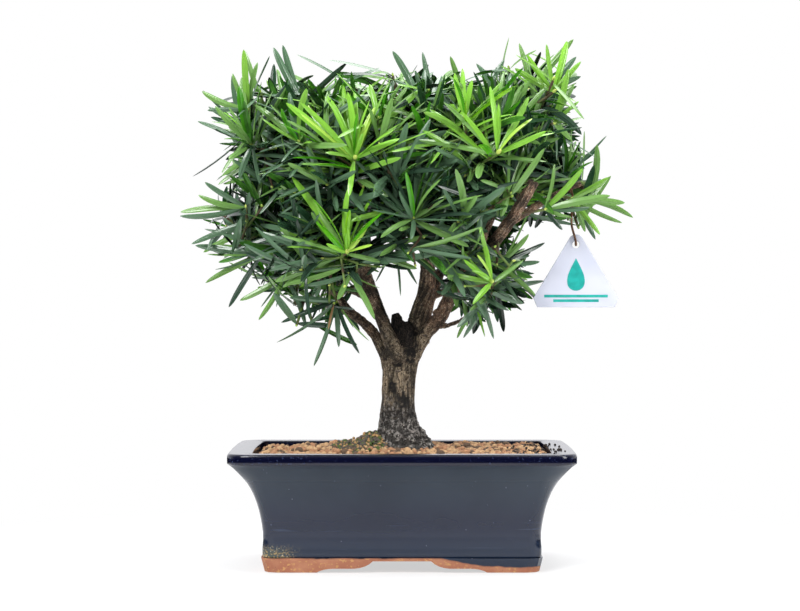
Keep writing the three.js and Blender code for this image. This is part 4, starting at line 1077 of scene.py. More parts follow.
# %% Masses
MASSES = {
    "leaves_front_left": ("bough_left_front", [-50, -66, 354], [70, 76, 70],
                          [[-40, -112, 357], [-88, -92, 372], [-20, -92, 392]]),
    "leaves_low_front": ("limb_low_front", [-58, -78, 274], [62, 64, 52],
                         [[-47, -108, 277], [-86, -96, 262]]),
    "leaves_front_middle": ("limb_front_middle", [10, -82, 306], [46, 60, 56],
                            [[10, -108, 306], [-3, -88, 284]]),
    "leaves_front_right": ("limb_front_right", [62, -70, 356], [66, 74, 70],
                           [[82, -106, 362], [54, -98, 392], [32, -104, 346]]),
    "leaves_low_right": ("limb_right_low", [82, -60, 252], [56, 64, 50],
                         [[77, -98, 252], [62, -62, 228], [100, -70, 262]]),
    "leaves_left": ("limb_left_low", [-142, -4, 296], [62, 92, 62],
                    [[-134, -60, 319], [-160, -10, 312], [-150, -30, 276]]),
    "leaves_low_left": ("bough_left_outer", [-96, -34, 232], [66, 74, 55],
                        [[-60, -50, 232], [-124, -50, 258], [-92, -60, 214]]),
    "leaves_top_left": ("limb_left", [-120, -10, 386], [72, 88, 78],
                        [[-131, -66, 371], [-124, -50, 418], [-150, 0, 420], [-70, -20, 420]]),
    "leaves_right": ("limb_right", [146, 4, 326], [56, 96, 56],
                     [[145, -58, 348], [168, -10, 320], [156, -30, 300]]),
    "leaves_top_right": ("limb_top_right", [112, -6, 402], [72, 88, 70],
                         [[132, -62, 428], [94, -40, 440], [150, 0, 436]]),
    "leaves_top": ("bough_centre", [0, -10, 408], [66, 84, 56],
                   [[23, -66, 418], [-8, -34, 434], [-42, -24, 424], [34, -4, 428]]),
    "leaves_back_top": ("limb_back_top", [8, 78, 386], [66, 68, 72], [[0, 96, 420]]),
    "leaves_back_left": ("bough_back_left", [-80, 84, 340], [78, 62, 78], [[-100, 100, 380]]),
    "leaves_back_right": ("bough_back_right", [80, 84, 336], [78, 62, 78], [[110, 100, 380]]),
    "leaves_back_left_low": ("limb_back_left_low", [-82, 76, 254], [64, 62, 50], [[-96, 96, 240]]),
    "leaves_back_right_low": ("limb_back_right_low", [86, 74, 260], [60, 62, 50], [[100, 92, 246]]),
}
CROWN_WIDTH, CROWN_DEPTH = 203, 145
CROWN_PROFILE = np.array([[176, 62], [200, 110], [231, 152], [265, 180], [315, CROWN_WIDTH],
                          [370, 194], [420, 180], [450, 158], [469, 112]])
CROWN_SQUARENESS = 2.5
REACH_MARGIN = 1.25
TAG_SPACE = np.array([[108, -150, 228], [198, -36, 302]])
OPEN_SKY = [  # x and z of the gaps between boughs where daylight shows through the crown
    [-27, 12, 200, 262], [-34, 44, 100, 236],
]

# %% Space tests
def within_crown(points):
    x, y, z = points.T
    half_width = np.interp(z, CROWN_PROFILE[:, 0], CROWN_PROFILE[:, 1])
    half_depth = CROWN_DEPTH * np.sqrt(half_width / CROWN_WIDTH)
    across = np.abs(x / half_width) ** CROWN_SQUARENESS + np.abs(y / half_depth) ** CROWN_SQUARENESS
    return (across < 1) & (z > CROWN_PROFILE[0, 0]) & (z < CROWN_PROFILE[-1, 0])


def reach_along(reach, direction):
    return 1 / norm(direction / reach)


def parting_planes(name):
    """Rows of a plane's normal and its offset, one for each neighbour."""
    _, heart, reach, _ = MASSES[name]
    heart, reach = np.array(heart, float), np.array(reach, float)
    planes = []
    for other_name, (_, other_heart, other_reach, _) in MASSES.items():
        if other_name == name:
            continue
        away = np.array(other_heart, float) - heart
        distance = norm(away)
        away /= distance
        mine = reach_along(reach, away)
        theirs = reach_along(np.array(other_reach, float), away)
        limit = distance * mine / (mine + theirs) - GAP
        planes.append([*away, away @ heart + limit])
    return np.array(planes)


def in_box(points, box):
    return np.all((points >= box[0]) & (points <= box[1]), axis=1)


def within_space(space, points, margin, use_reach=True):
    points = np.atleast_2d(points)
    free = np.all(points @ space["planes"][:, :3].T - space["planes"][:, 3] <= -margin, axis=1)
    free &= ~in_box(points, TAG_SPACE)
    if use_reach:
        share = norm((points - space["heart"]) / space["reach"], axis=1)
        free &= (share < REACH_MARGIN) & within_crown(points)
    return free
print("planes round a mass", len(parting_planes("leaves_top")))

# %% [markdown]
# ## The tag's wire
# A short soft wire hooks over the right-hand limb, drops to the tag and hooks through its
# hole. Its route is worked out before the leaves, since they keep clear of it too.

# %% Wire route
TAG = {"x": 153, "y": -42, "bottom": 229.5, "height": 64, "width": 75, "thickness": 1.8,
       "corner": 8, "top": 10, "hole": 3.2, "hole_below": 9}
WIRE_RADIUS = 1


def wire_line(steps):
    points, radii = limb_stations(LIMBS["limb_right"], LIMB_STATIONS)
    top, radius = points[20], radii[20]
    hang = radius + 3 * GAP + WIRE_RADIUS
    hole_z = TAG["bottom"] + TAG["height"] - TAG["hole_below"]
    stand = TAG["thickness"] / 2 + 2 * GAP + WIRE_RADIUS
    back, front = TAG["y"] + stand, TAG["y"] - stand
    route = [[top[0] + 1, top[1] + hang * 0.9, top[2] - 4]]
    for angle in (20, 60, 90, 120, 160):
        bend = math.radians(angle)
        route.append([top[0] + 1, top[1] + hang * math.cos(bend), top[2] + hang * math.sin(bend)])
    route += [
        [top[0] + 3, top[1] - hang, top[2] - 8], [TAG["x"] - 4, front, hole_z + 18],
        [TAG["x"] - 1, front, hole_z + 6], [TAG["x"], front, hole_z + 0.6],
        [TAG["x"], TAG["y"], hole_z - 0.4], [TAG["x"], back, hole_z + 1],
        [TAG["x"] + 0.4, back, hole_z + 6],
    ]
    return np.array([curve_point(route, i / steps) for i in range(steps + 1)])


def capsules():
    """Segments with a radius that twigs and leaves keep clear of, each with its owner."""
    trunk = np.array([[(l + r) / 2, 0, z, (r - l) / 2] for z, l, r in TRUNK_EDGES])
    lines = {"trunk": (trunk[:, :3], trunk[:, 3])}
    for name, path in LIMBS.items():
        lines[name] = limb_stations(path, LIMB_STATIONS // 2)
    lines["tag_wire"] = wire_line(20), [WIRE_RADIUS] * 21
    rows = [(line[i], line[i + 1], max(thick[i], thick[i + 1]), owner)
            for owner, (line, thick) in lines.items() for i in range(len(line) - 1)]
    starts, ends, radii, owners = zip(*rows)
    return np.array(starts, float), np.array(ends, float), np.array(radii, float), np.array(owners)


CAP_START, CAP_END, CAP_RADIUS, CAP_OWNER = capsules()
CAP_WAY = CAP_END - CAP_START
CAP_LONG = np.maximum((CAP_WAY ** 2).sum(1), 1e-9)


def clear_of_limbs(points, margin, ignored=None):
    points = np.atleast_2d(points)
    away = points[:, None] - CAP_START
    share = np.clip((away * CAP_WAY).sum(-1) / CAP_LONG, 0, 1)
    distance = norm(away - share[..., None] * CAP_WAY, axis=-1)
    free = distance > CAP_RADIUS + margin
    if ignored:
        free |= CAP_OWNER == ignored
    return np.all(free, axis=1)


print(len(CAP_START), "capsules to keep clear of")

# %% [markdown]
# ## The growing rule
# This is the source's rule again. A stem leaves the limb's tip for the heart of its mass, and
# a shoot runs from it to each rosette's site: first the named sites, then a seeded spread
# that keeps its distance. Leaves point out of the faces of a twenty-sided bud, each nudged by
# chance. One that would leave its space, touch a limb or lie on another is tried shorter and
# then left out.

# %% Rule values
LEAF_LENGTH, LEAF_WIDTH, LEAF_RIDGE, LEAF_ARCH = 62, 9.5, 1.5, 0.03
STEM_RADIUS, STEM_ROOT, STEM_RUN, SHOOT_RADIUS = 2.4, 1, 10, 1.5
GOLDEN_ANGLE = math.pi * (3 - math.sqrt(5))
SPREAD_TRIES, SPREAD_SHARE, SITE_SPACING, SITE_MARGIN = 24, (0.32, 0.54), 36, 9
FORK_SHARE, SHOOT_SAG, SHOOT_TAPER, AXIS_RISE = (0.35, 0.95), 0.08, 0.75, 0.35
LOWEST_LEAF, LEAF_LENGTHS, LEAF_TRIES = -0.25, (0.9, 1.15), (1, 0.85, 0.7, 0.55)
LEAF_SCATTER, LEAF_SPACING, FEWEST_LEAVES = 0.24, 5.5, 5
T = (1 + math.sqrt(5)) / 2
BUD_POINTS = unit(np.array([[-1, T, 0], [1, T, 0], [-1, -T, 0], [1, -T, 0], [0, -1, T], [0, 1, T],
                            [0, -1, -T], [0, 1, -T], [T, 0, -1], [T, 0, 1], [-T, 0, -1], [-T, 0, 1]]))
BUD_FACES = [[0, 11, 5], [0, 5, 1], [0, 1, 7], [0, 7, 10], [0, 10, 11], [1, 5, 9], [5, 11, 4],
             [11, 10, 2], [10, 7, 6], [7, 1, 8], [3, 9, 4], [3, 4, 2], [3, 2, 6], [3, 6, 8],
             [3, 8, 9], [4, 9, 5], [2, 4, 11], [6, 2, 10], [8, 6, 7], [9, 8, 1]]
print("leaves of", [round(LEAF_LENGTH * share) for share in LEAF_LENGTHS], "mm")

# %% Rosette rule
def leaf_ok(space, start, direction, up, length, grown):
    side = np.cross(up, direction)
    arch = LEAF_ARCH * length

    def at(along, across, rise):
        return start + direction * along * length + side * across * LEAF_WIDTH / 2 + up * rise

    tip = at(1, 0, -arch)
    corners = [at(0.45, 0, arch + LEAF_RIDGE), at(0.45, -1, arch), at(0.45, 1, arch), tip]
    if not np.all(within_space(space, np.array(corners), GAP)):
        return None
    spots = start + (tip - start) * np.arange(0.2, 1.01, 0.1)[:, None]
    if not np.all(clear_of_limbs(spots, LEAF_WIDTH / 2 + GAP)):
        return None
    if len(grown):
        near = ((spots[:, None] - grown[None]) ** 2).sum(-1)
        if near.min() < LEAF_SPACING ** 2:
            return None
    return tip, spots


def rotate_to(axis, spin):
    """The turn that takes +Z to an axis, after a spin about +Z."""
    turn = Vector((0, 0, 1)).rotation_difference(Vector(axis)).to_matrix()
    c, s = math.cos(spin), math.sin(spin)
    return np.array(turn) @ np.array([[c, -s, 0], [s, c, 0], [0, 0, 1]])


def grow_rosette(space, site, axis, draw, grown):
    turn = rotate_to(axis, draw() * math.pi * 2)
    points = BUD_POINTS @ turn.T
    leaves, mine = [], []
    for face in BUD_FACES:
        direction = unit(points[face].sum(0))
        scatter = np.array([draw() - 0.5, draw() - 0.5, draw() - 0.5])
        direction = unit(direction + scatter * LEAF_SCATTER)
        length = LEAF_LENGTH * lerp(*LEAF_LENGTHS, draw())
        rise = direction @ axis
        if rise <= LOWEST_LEAF:
            continue
        up = unit(axis - direction * rise)
        for share in LEAF_TRIES:
            found = leaf_ok(space, site, direction, up, length * share, grown)
            if found:
                leaves.append((direction, up, length * share, found[0], rise))
                mine.append(found[1])
                break
    if len(leaves) < FEWEST_LEAVES:
        return None, []
    return leaves, mine
print("a bud has", len(BUD_FACES), "faces to grow leaves from")

# %% Mass rule
def twig_ok(space, line, radii, ignored):
    for i, (point, radius) in enumerate(zip(line, radii)):
        if not within_space(space, point, radius + GAP, False)[0]:
            return False
        if i and not clear_of_limbs(point, radius + GAP, ignored)[0]:
            return False
    return True


def rosette_sites(space, named, draw):
    sites = [np.array(site, float) for site in named]
    offset = draw() * math.pi * 2
    for i in range(SPREAD_TRIES):
        up = 1 - 2 * (i + 0.5) / SPREAD_TRIES
        flat = math.sqrt(1 - up * up)
        turn = offset + i * GOLDEN_ANGLE
        share = lerp(*SPREAD_SHARE, draw())
        way = np.array([flat * math.cos(turn), flat * math.sin(turn), up])
        site = space["heart"] + way * space["reach"] * share
        if not within_space(space, site, SITE_MARGIN)[0] or not clear_of_limbs(site, SITE_MARGIN)[0]:
            continue
        if any(norm(other - site) < SITE_SPACING for other in sites):
            continue
        sites.append(site)
    return sites


def shoot_middle(start, end):
    """The point that bends a shoot: it sags a little under its own weight."""
    return (start + end) / 2 - [0, 0, SHOOT_SAG * norm(end - start)]


def bend_line(start, end, steps):
    share = np.linspace(0, 1, steps + 1)[:, None]
    middle = shoot_middle(start, end)
    return (1 - share) ** 2 * start + 2 * share * (1 - share) * middle + share ** 2 * end


def shoot_axis(space, fork, site):
    """A shoot's end turns outward and up towards the light."""
    along = unit(site - shoot_middle(fork, site))
    return unit(along * 0.5 + unit(site - space["heart"]) + [0, 0, AXIS_RISE])


def grow_mass(name, index):
    limb, heart, reach, named = MASSES[name]
    draw = make_random(1000 + 37 * index)
    space = {"heart": np.array(heart, float), "reach": np.array(reach, float),
             "planes": parting_planes(name)}
    points, _ = limb_stations(LIMBS[limb], LIMB_STATIONS)
    tip, way = points[-1], unit(points[-1] - points[-2])
    bend = lerp(tip + way * STEM_RUN, space["heart"], 0.25)
    stem_route = [tip - way * STEM_ROOT, bend, space["heart"]]
    shoots, grown = [], np.zeros((0, 3))
    for site in rosette_sites(space, named, draw):
        fork = curve_point(stem_route, lerp(*FORK_SHARE, draw()))
        radii = [SHOOT_RADIUS * lerp(1, SHOOT_TAPER, i / 2) for i in range(3)]
        if not twig_ok(space, bend_line(fork, site, 2), radii, None):
            continue
        axis = shoot_axis(space, fork, site)
        leaves, mine = grow_rosette(space, site, axis, draw, grown)
        if leaves is None:
            continue
        shoots.append({"site": site, "axis": axis, "fork": fork, "leaves": leaves})
        grown = np.concatenate([grown, *mine, bend_line(fork, site, 8)])
    return space, stem_route, shoots


trees = {name: grow_mass(name, index) for index, name in enumerate(MASSES)}
print("rosettes", sum(len(shoots) for _, _, shoots in trees.values()),
      "leaves by the rule", sum(len(s["leaves"]) for _, _, shoots in trees.values() for s in shoots))

# %% [markdown]
# ## Room for more leaves
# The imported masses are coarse, so the rule goes on here with its own seeds and finer twigs.
# The parting planes are dropped: leaves may cross from one mass into the next, which closes
# the crown, but they keep to the reach of all the masses together. A grid of small cells
# remembers where leaves already are, so that a new one is tested in one lookup.

# %% Room for leaves
CROWN_CORE = np.array([0, 0, 285])
CROWN_MIDDLE = np.array([-1.7, 324.3])
EDGE_TURNS = np.arange(-64, 297, 6)  # degrees anticlockwise from the right
CROWN_BODY = np.array([  # how far the dense body reaches in each of those directions
    127, 134, 131, 134, 145, 147, 137, 128, 117, 124, 160, 176, 177, 173, 173, 173, 183, 187, 173, 160, 138,
    122, 117, 116, 121, 116, 111, 109, 108, 116, 126, 126, 134, 152, 166, 176, 176, 175, 159, 156, 159, 159,
    168, 170, 168, 148, 144, 138, 124, 132, 124, 130, 129, 129, 129, 129, 129, 129, 127, 127, 127,
])
CROWN_TIP = np.array([  # and how far single leaves do
    134, 145, 150, 142, 150, 150, 142, 133, 124, 150, 185, 192, 184, 184, 184, 181, 195, 198, 198, 175, 155,
    132, 129, 126, 129, 124, 127, 119, 119, 126, 136, 134, 150, 174, 184, 184, 190, 186, 175, 168, 176, 184,
    184, 180, 180, 155, 152, 146, 130, 140, 130, 138, 138, 138, 136, 134, 134, 134, 134, 134, 134,
])
SKY_HOLES = [  # x, z and the two half sizes of gaps between sprays
    (131, 289, 26, 12), (80, 305, 6, 5), (-115, 317, 6, 4), (-84, 320, 7, 4), (-71, 336, 5, 5),
    (-47, 236, 5, 6), (-24, 290, 3, 4),
]
FRONT_PLANE = 2125  # from the camera to the plane in which those numbers are measured
SHOWN_WOOD = [  # x, z, x, z, half width and y: bare lengths of limb that nothing hangs before
    (84, 291, 116, 342, 8, -58), (-33, 226, -24, 252, 8, 0), (16, 214, 24, 262, 8, 0),
]
HEARTS = np.array([mass[1] for mass in MASSES.values()], float)
REACHES = np.array([mass[2] for mass in MASSES.values()], float)
CELL = 2.0
CELL_LOW = np.array([-216, -160, 160])
taken = np.zeros((216, 160, 160), bool)
TOUCHING = np.array([[0, 0, 0], [1, 0, 0], [-1, 0, 0], [0, 1, 0], [0, -1, 0], [0, 0, 1], [0, 0, -1]])


def is_open_sky(points):
    """Whether points lie in a gap between the boughs where daylight shows through."""
    x, y, z = points.T
    hidden = np.zeros(len(points), bool)
    for left, right, low, high in OPEN_SKY:
        hidden |= (x > left) & (x < right) & (z > low) & (z < high)
    for x1, z1, x2, z2, half, front in SHOWN_WOOD:
        way = np.array([x2 - x1, z2 - z1])
        share = np.clip(((x - x1) * way[0] + (z - z1) * way[1]) / (way @ way), 0, 1)
        hidden |= (np.hypot(x - x1 - share * way[0], z - z1 - share * way[1]) < half) & (y < front)
    across, up = (seen_from_front(points) + CROWN_MIDDLE).T
    for hole_x, hole_z, wide, tall in SKY_HOLES:
        hidden |= np.hypot((across - hole_x) / wide, (up - hole_z) / tall) < 1
    return hidden


def seen_from_front(points):
    """Where points appear in the front plane, from the crown's middle."""
    share = (FRONT_PLANE / (FRONT_PLANE + 30 + points[:, 1]))[:, None]
    return (points[:, [0, 2]] - (-1.7, 243.8)) * share + (-1.7, 243.8) - CROWN_MIDDLE


def placed(x, z, y):
    """The point at a depth y that is seen at x and z of the front plane."""
    share = (FRONT_PLANE + 30 + y) / FRONT_PLANE
    return np.array([(x + 1.7) * share - 1.7, y, (z - 243.8) * share + 243.8])


def within_outline(points, scale):
    """Inside the crown's body drawn in by a scale; over 1 it grows towards the single leaves."""
    flat = seen_from_front(points)
    turns = (np.degrees(np.arctan2(flat[:, 1], flat[:, 0])) + 64) % 360 - 64
    body = np.interp(turns, EDGE_TURNS, CROWN_BODY)
    tip = np.interp(turns, EDGE_TURNS, CROWN_TIP)
    edge = body * min(scale, 1) + (tip - body) * min(max(scale - 1, 0) * 10, 1)
    return np.hypot(*flat.T) < edge


def within_dressing(points, scale):
    """Inside the crown drawn in by a scale, and within reach of some mass."""
    drawn = CROWN_CORE + (points - CROWN_CORE) / min(scale, 1)
    near = norm((points[:, None] - HEARTS) / REACHES, axis=-1).min(1) < REACH_MARGIN
    free = near & within_crown(drawn) & within_outline(points, scale)
    return bool(np.all(free & ~in_box(points, TAG_SPACE) & ~is_open_sky(points)))


def cells_of(points):
    return np.clip(((points - CELL_LOW) / CELL).astype(int), 1, np.array(taken.shape) - 2)


def is_free(points):
    return not taken[tuple(cells_of(points).T)].any()


def take(points):
    for step in TOUCHING:
        taken[tuple((cells_of(points) + step).T)] = True
print("cells", taken.size)

# %% [markdown]
# ## Young and old sprays
# New growth is bright lime, last year's leaves are mid green and most of the crown is a dark
# blue-green. Whole sprays are young at once: a few named sprays are lime, a few more by
# chance are mid green, and the rest are dark. Within a spray the topmost leaves are younger.
# Sprays deep inside the crown are also dealt darker tones as painted shade; the darkest
# class is named shade for it.

# %% Ages of the sprays
FEATURED = [  # x, y, z of a bud, how young its spray is, how long its leaves are and how many
    (-40, -112, 357, 1, 1.2, 44), (-47, -108, 277, 1, 1.12, 22), (77, -98, 252, 1, 1.0, 18),
    (-134, -60, 319, 1, 0.72, 22), (82, -106, 362, 1, 0.95, 16), (145, -58, 348, 1, 0.75, 14),
    (54, -98, 392, 0.8, 0.9, 14), (132, -62, 428, 0.6, 1, 18), (10, -108, 306, 0.1, 1.2, 40),
    (-131, -66, 371, 0.3, 1.1, 30), (-60, -50, 232, 0.1, 1.05, 20),
]
FEATURED_REACH, FEATURED_VIEW = 12, 26
YOUNG_ZONES = [  # x, z, reach and how young: parts of the front where more leaves are green
    (-30, 395, 50, 0.6), (60, 415, 50, 0.45), (4, 372, 24, 0.75), (150, 430, 40, 0.45),
    (-133, 400, 26, 0.22), (165, 318, 26, 0.5), (95, 330, 22, 0.3),
]
CLASSES = ["shade", "old", "grown", "fresh", "lime", "gold", "dry"]


def feature_of(site):
    """The row of a featured spray whose bud this is, or None."""
    for row in FEATURED:
        if norm(site - row[:3]) < FEATURED_REACH:
            return row
    return None


def spray_mood(site, chance):
    """0 is a dark old spray, 1 a bright young one; sprays near the crown's core are pushed darker as
    painted shade.
    """
    featured = feature_of(site)
    if featured:
        return featured[3]
    mood = 0.28 * chance.random() ** 2
    for x, z, reach, young in YOUNG_ZONES:
        near = 1 - smooth(0.4, 1.1, math.hypot(site[0] - x, site[2] - z) / reach)
        mood = max(mood, near * young * chance.uniform(0.5, 1))
    # painted shade: sprays near the crown's core are dealt darker
    inside = 1 - smooth(0.35, 0.7, norm((site - [0, 0, 320]) / [190, 135, 150]))
    return float(mood * (1 - 0.7 * inside))


def leaf_class(mood, age, chance):
    if mood < 0:
        return "dry"
    if mood >= 1:
        tone = 4.3 - 2.3 * smooth(0.25, 0.95, age) + chance.normal() * 0.4
    else:
        tone = mood * 3.5 + (1 - age) * 0.9 + 0.35 + chance.normal() * 0.6
    return CLASSES[int(np.clip(round(tone), 0, 5))]


print(len(FEATURED), "featured sprays and", len(YOUNG_ZONES), "younger zones")

# %% [markdown]
# ## Finer shoots
# More shoots fork off the nearest wood. Their buds lie well inside the crown's outline, one
# leaf's length or more, because a spray's leaves reach outward from it. High sprays turn up
# to the light, those at mid height point outward and the lowest hang.

# %% Finer shoots
FINE_TRIES, FINE_SPACING, FINE_SHARE = 260, 19.5, (0.1, 0.88)
BUD_SCALES = (0.62, 0.84)


def hides_featured(points):
    """Whether a leaf would hang before the middle of a featured spray."""
    for x, y, z, *_ in FEATURED:
        if np.any((np.hypot(points[:, 0] - x, points[:, 2] - z) < FEATURED_VIEW) & (points[:, 1] < y + 8)):
            return True
    return False


def spray_axis(fork, site):
    """Outward from the crown's core, on along the shoot, and up by as much as it is high."""
    along = unit(site - shoot_middle(fork, site))
    outward = unit((site - CROWN_CORE) * [1, 0.8, 0.75])
    lift = lerp(-0.28, 0.95, smooth(225, 370, site[2]))
    return unit(outward + 0.4 * along + [0, 0, lift])


def fine_shoots(space, stem_route, shoots, chance):
    """More sites in a mass, each forked off the nearest point of the wood that is there."""
    wood = [curve_point(stem_route, share) for share in np.linspace(0.3, 1, 8)]
    for shoot in shoots:
        wood.extend(bend_line(shoot["fork"], shoot["site"], 6)[2:6])
    more = []
    for _ in range(FINE_TRIES):
        way = unit(chance.normal(size=3))
        site = space["heart"] + way * space["reach"] * lerp(*FINE_SHARE, chance.random() ** 0.6)
        if not within_dressing(site[None], chance.uniform(*BUD_SCALES)) or not clear_of_limbs(site, 6)[0]:
            continue
        if min(norm(np.array(all_sites) - site, axis=1)) < FINE_SPACING:
            continue
        fork = min(wood, key=lambda point: norm(point - site))
        line = bend_line(fork, site, 6)
        if not np.all(clear_of_limbs(line[1:], 1.4)) or is_open_sky(line).any():
            continue
        all_sites.append(site)
        wood.extend(line[2:6])
        more.append({"site": site, "axis": spray_axis(fork, site), "fork": fork, "leaves": []})
    return more
all_sites = [shoot["site"] for _, _, shoots in trees.values() for shoot in shoots]
print("buds so far", len(all_sites))

# %% [markdown]
# Leaves stand on a shoot in a spiral by the golden angle, so that none shades the next. The
# young ones at the tip point along the shoot and the older ones spread wide.

# %% Spiral of leaves
SPRAY_LEAVES, SPRAY_DEPTH = 30, 28
TIP_SCALES = (0.88, 1.05)


SIXTEEN = np.linspace(0, 1, 16)


def leaf_path(start, direction, up, length, arch=0, sickle=0, steps=SIXTEEN):
    """The midrib of a leaf: it arches up, dips at the tip and may bend a little sideways."""
    t = steps[:, None]
    side = np.cross(up, direction)
    rule_arch = LEAF_ARCH * length * (4.859 * t - 5.859 * t * t)
    return (start + direction * length * t + up * (rule_arch + arch * length * 4 * t * (1 - t))
            + side * sickle * length * 4 * t * (1 - t))


def spray_leaves(shoot, chance, count):
    """Extra leaves in a spiral down a shoot, kept where they are free of wood and each other.

    A leaf is a row: where it starts, its direction, its upper side, its length and its age.
    """
    axis, site = spray_axis(shoot["fork"], shoot["site"]), shoot["site"]
    featured = feature_of(site)
    if featured:
        axis = unit(np.array([site[0] / 340, -0.45, 1.0 if site[2] > 240 else -0.5]))
    back = bend_line(shoot["fork"], site, 20)
    behind = norm(back - site, axis=1)
    helper = unit(np.cross(axis, [0.31, 0.17, 0.93]))
    other = np.cross(axis, helper)
    turn = chance.uniform(0, 2 * math.pi)
    scale = 1 if featured else chance.uniform(*TIP_SCALES)
    made = []
    for k in range(count):
        age = (k + 0.5) / count
        polar = math.radians(lerp(8, 74 if featured else 88, age ** 0.7) + chance.normal() * 6)
        around = turn + k * GOLDEN_ANGLE + chance.normal() * 0.16
        out = math.cos(around) * helper + math.sin(around) * other
        start = back[np.argmin(np.abs(behind - age * SPRAY_DEPTH))]
        direction = unit(axis * math.cos(polar) + out * math.sin(polar))
        direction = unit(direction - np.array([0, 0, 0.05 + 0.14 * age]) * chance.random())
        length = LEAF_LENGTH * lerp(0.74, 1.06, smooth(0, 0.3, age)) * chance.uniform(0.86, 1.1)
        length *= featured[4] if featured else 1
        up = unit(axis - direction * (axis @ direction)) if abs(axis @ direction) < 0.995 else helper
        for share in (1, 0.88, 0.76):
            spots = leaf_path(start, direction, up, length * share, 0.02)
            if not within_dressing(spots[6:], scale) or not np.all(clear_of_limbs(spots[4:], 3)):
                continue
            if not is_free(spots[6:]) or (not featured and hides_featured(spots[3:])):
                continue
            take(spots[6:])
            made.append((start, direction, up, length * share, age))
            break
    return made
print("golden angle", round(math.degrees(GOLDEN_ANGLE), 1))

# %% [markdown]
# ## Leaves that make the outline
# From the front some leaves stand out of the crown as single long tips. They are named by
# where they end, and each grows from the bud that lies about a leaf's length behind it.

# %% Named tips
CROWN_TIPS = [  # x, z
    (-140, 456), (-114, 459), (-106, 461), (-92, 454), (-150, 436), (-177, 420), (-171, 407),
    (-180, 395), (-184, 344), (-186, 285), (-176, 279), (55, 202), (72, 203), (82, 202),
    (122, 232), (126, 252), (172, 290), (184, 346), (182, 380), (158, 434), (154, 451),
    (152, 466), (104, 463), (93, 468),
    (90, 449), (66, 445), (42, 451), (18, 455), (-8, 456), (-20, 442), (-48, 445), (-64, 449),
]
FANS = [  # x, z and y of a bud, how young it is, and the x and z of its leaves' tips
    (-58, 235, -52, 0.1, [(-110, 197), (-107, 216), (-99, 238), (-77, 177), (-56, 194), (-39, 188),
                          (-30, 199)]),
    (-124, 276, -46, 0.15, [(-174, 300), (-183, 284), (-172, 277), (-165, 262), (-174, 251), (-154, 230)]),
    (-103, 258, -44, 0.12, [(-143, 235), (-126, 218), (-124, 229), (-112, 230), (-133, 255), (-84, 214)]),
    (-138, 318, -52, 0.2, [(-196, 315), (-196, 309), (-174, 340), (-180, 328), (-150, 276)]),
    (-6, 284, -66, 0.1, [(0, 240), (14, 250), (49, 239), (-24, 252), (30, 262)]),
    (-46, 259, -84, 0.12, [(-24, 219), (-57, 236), (-20, 246), (-84, 248)]),
    (150, 326, -50, 0.5, [(175, 294), (194, 303), (197, 322), (183, 344), (205, 310), (162, 296)]),
    (126, 316, -70, 0.3, [(178, 337), (184, 328), (160, 352), (150, 308), (142, 298), (166, 318),
                          (136, 356)]),
    (96, 330, -76, 0.15, [(84, 372), (118, 372), (132, 352), (70, 360), (104, 384)]),
    (-99, 268, -70, -1, [(-81, 255)]),
    (-60, 233, -56, -1, [(-66, 210)]),
    (84, 268, -62, 0.15, [(112, 294), (126, 287), (122, 270), (118, 240), (104, 232)]),
    (134, 420, -54, 0.6, [(146, 465), (158, 447), (128, 462), (154, 412), (110, 452), (100, 440)]),
    (-136, 404, -48, 0.2, [(-140, 457), (-150, 436), (-118, 452), (-177, 420), (-128, 446), (-172, 404)]),
    (134, 392, -54, 0.5, [(156, 412), (152, 426), (160, 398), (150, 378), (148, 440)]),
    (96, 384, -64, 0.2, [(112, 430), (84, 434), (128, 424), (70, 420), (98, 438)]),
]
TIP_LENGTHS = (40, 72)
tip_chance = np.random.default_rng(21)


def up_towards_front(direction, chance):
    """A leaf's upper side turned more or less to the front, and squarely across the leaf."""
    lean = chance.uniform(-1, 1)
    flat = unit(np.cross(direction, [0, 1, 0])) * (1 if direction[0] < 0 else -1)
    up = flat * lean + np.array([0, -1, 0]) * math.sqrt(1.2 - lean * lean)
    return unit(up - direction * (direction @ up))


def leaf_to(tip, site, chance):
    length = norm(tip - site)
    direction = (tip - site) / length
    return site, direction, up_towards_front(direction, chance), length, 0.5


def tip_leaf(x, z):
    """A leaf from a bud of the right distance to a named tip, or None."""
    best, found = 1e9, None
    reach = math.hypot(x - CROWN_CORE[0], z - CROWN_CORE[2])
    for site in all_sites:
        flat = math.hypot(site[0] - x, site[2] - z)
        outward = math.hypot(*(site - CROWN_CORE)[[0, 2]]) < reach
        misfit = abs(flat - 56) + 0.12 * abs(site[1] + 30)
        if outward and TIP_LENGTHS[0] < flat < TIP_LENGTHS[1] and misfit < best:
            best, found = misfit, site
    if found is None:
        return None
    return leaf_to(placed(x, z, found[1] * 1.06), found, tip_chance)
print(len(CROWN_TIPS), "named tips and", len(FANS), "fans")

# %% [markdown]
# Some sprays are told apart from the front as whole fans, so each of these is named by its bud
# and by where its leaves end. A twig joins the bud to the nearest wood there is.

# %% Fans
def nearest_wood(site):
    stations = [np.array(row[:3], float) for path in LIMBS.values() for row in path[1:]]
    reach = norm(site - CROWN_CORE)
    inner = [s for s in [*stations, *all_sites] if norm(s - CROWN_CORE) < reach]
    return min(inner, key=lambda point: norm(point - site))


def fan_leaves(site, tips, chance):
    made = []
    for x, z in tips:
        leaf = leaf_to(placed(x, z, site[1] + chance.uniform(-14, 8)), site, chance)
        made.append((*leaf[:4], chance.uniform(0.3, 0.8)))
    return made


# %% [markdown]
# All sprays are grown in one fixed order, since each leaf has to keep clear of those before
# it: the rule's own leaves, finer shoots, named tips and fans, then every spray's spiral.

# %% Growing all the leaves
all_leaves = {name: [] for name in CLASSES}
twig_lines, buds, sprays = [], [], []
chance = np.random.default_rng(5)


def keep_leaf(leaf, mood):
    all_leaves[leaf_class(mood, leaf[4], chance)].append(leaf)


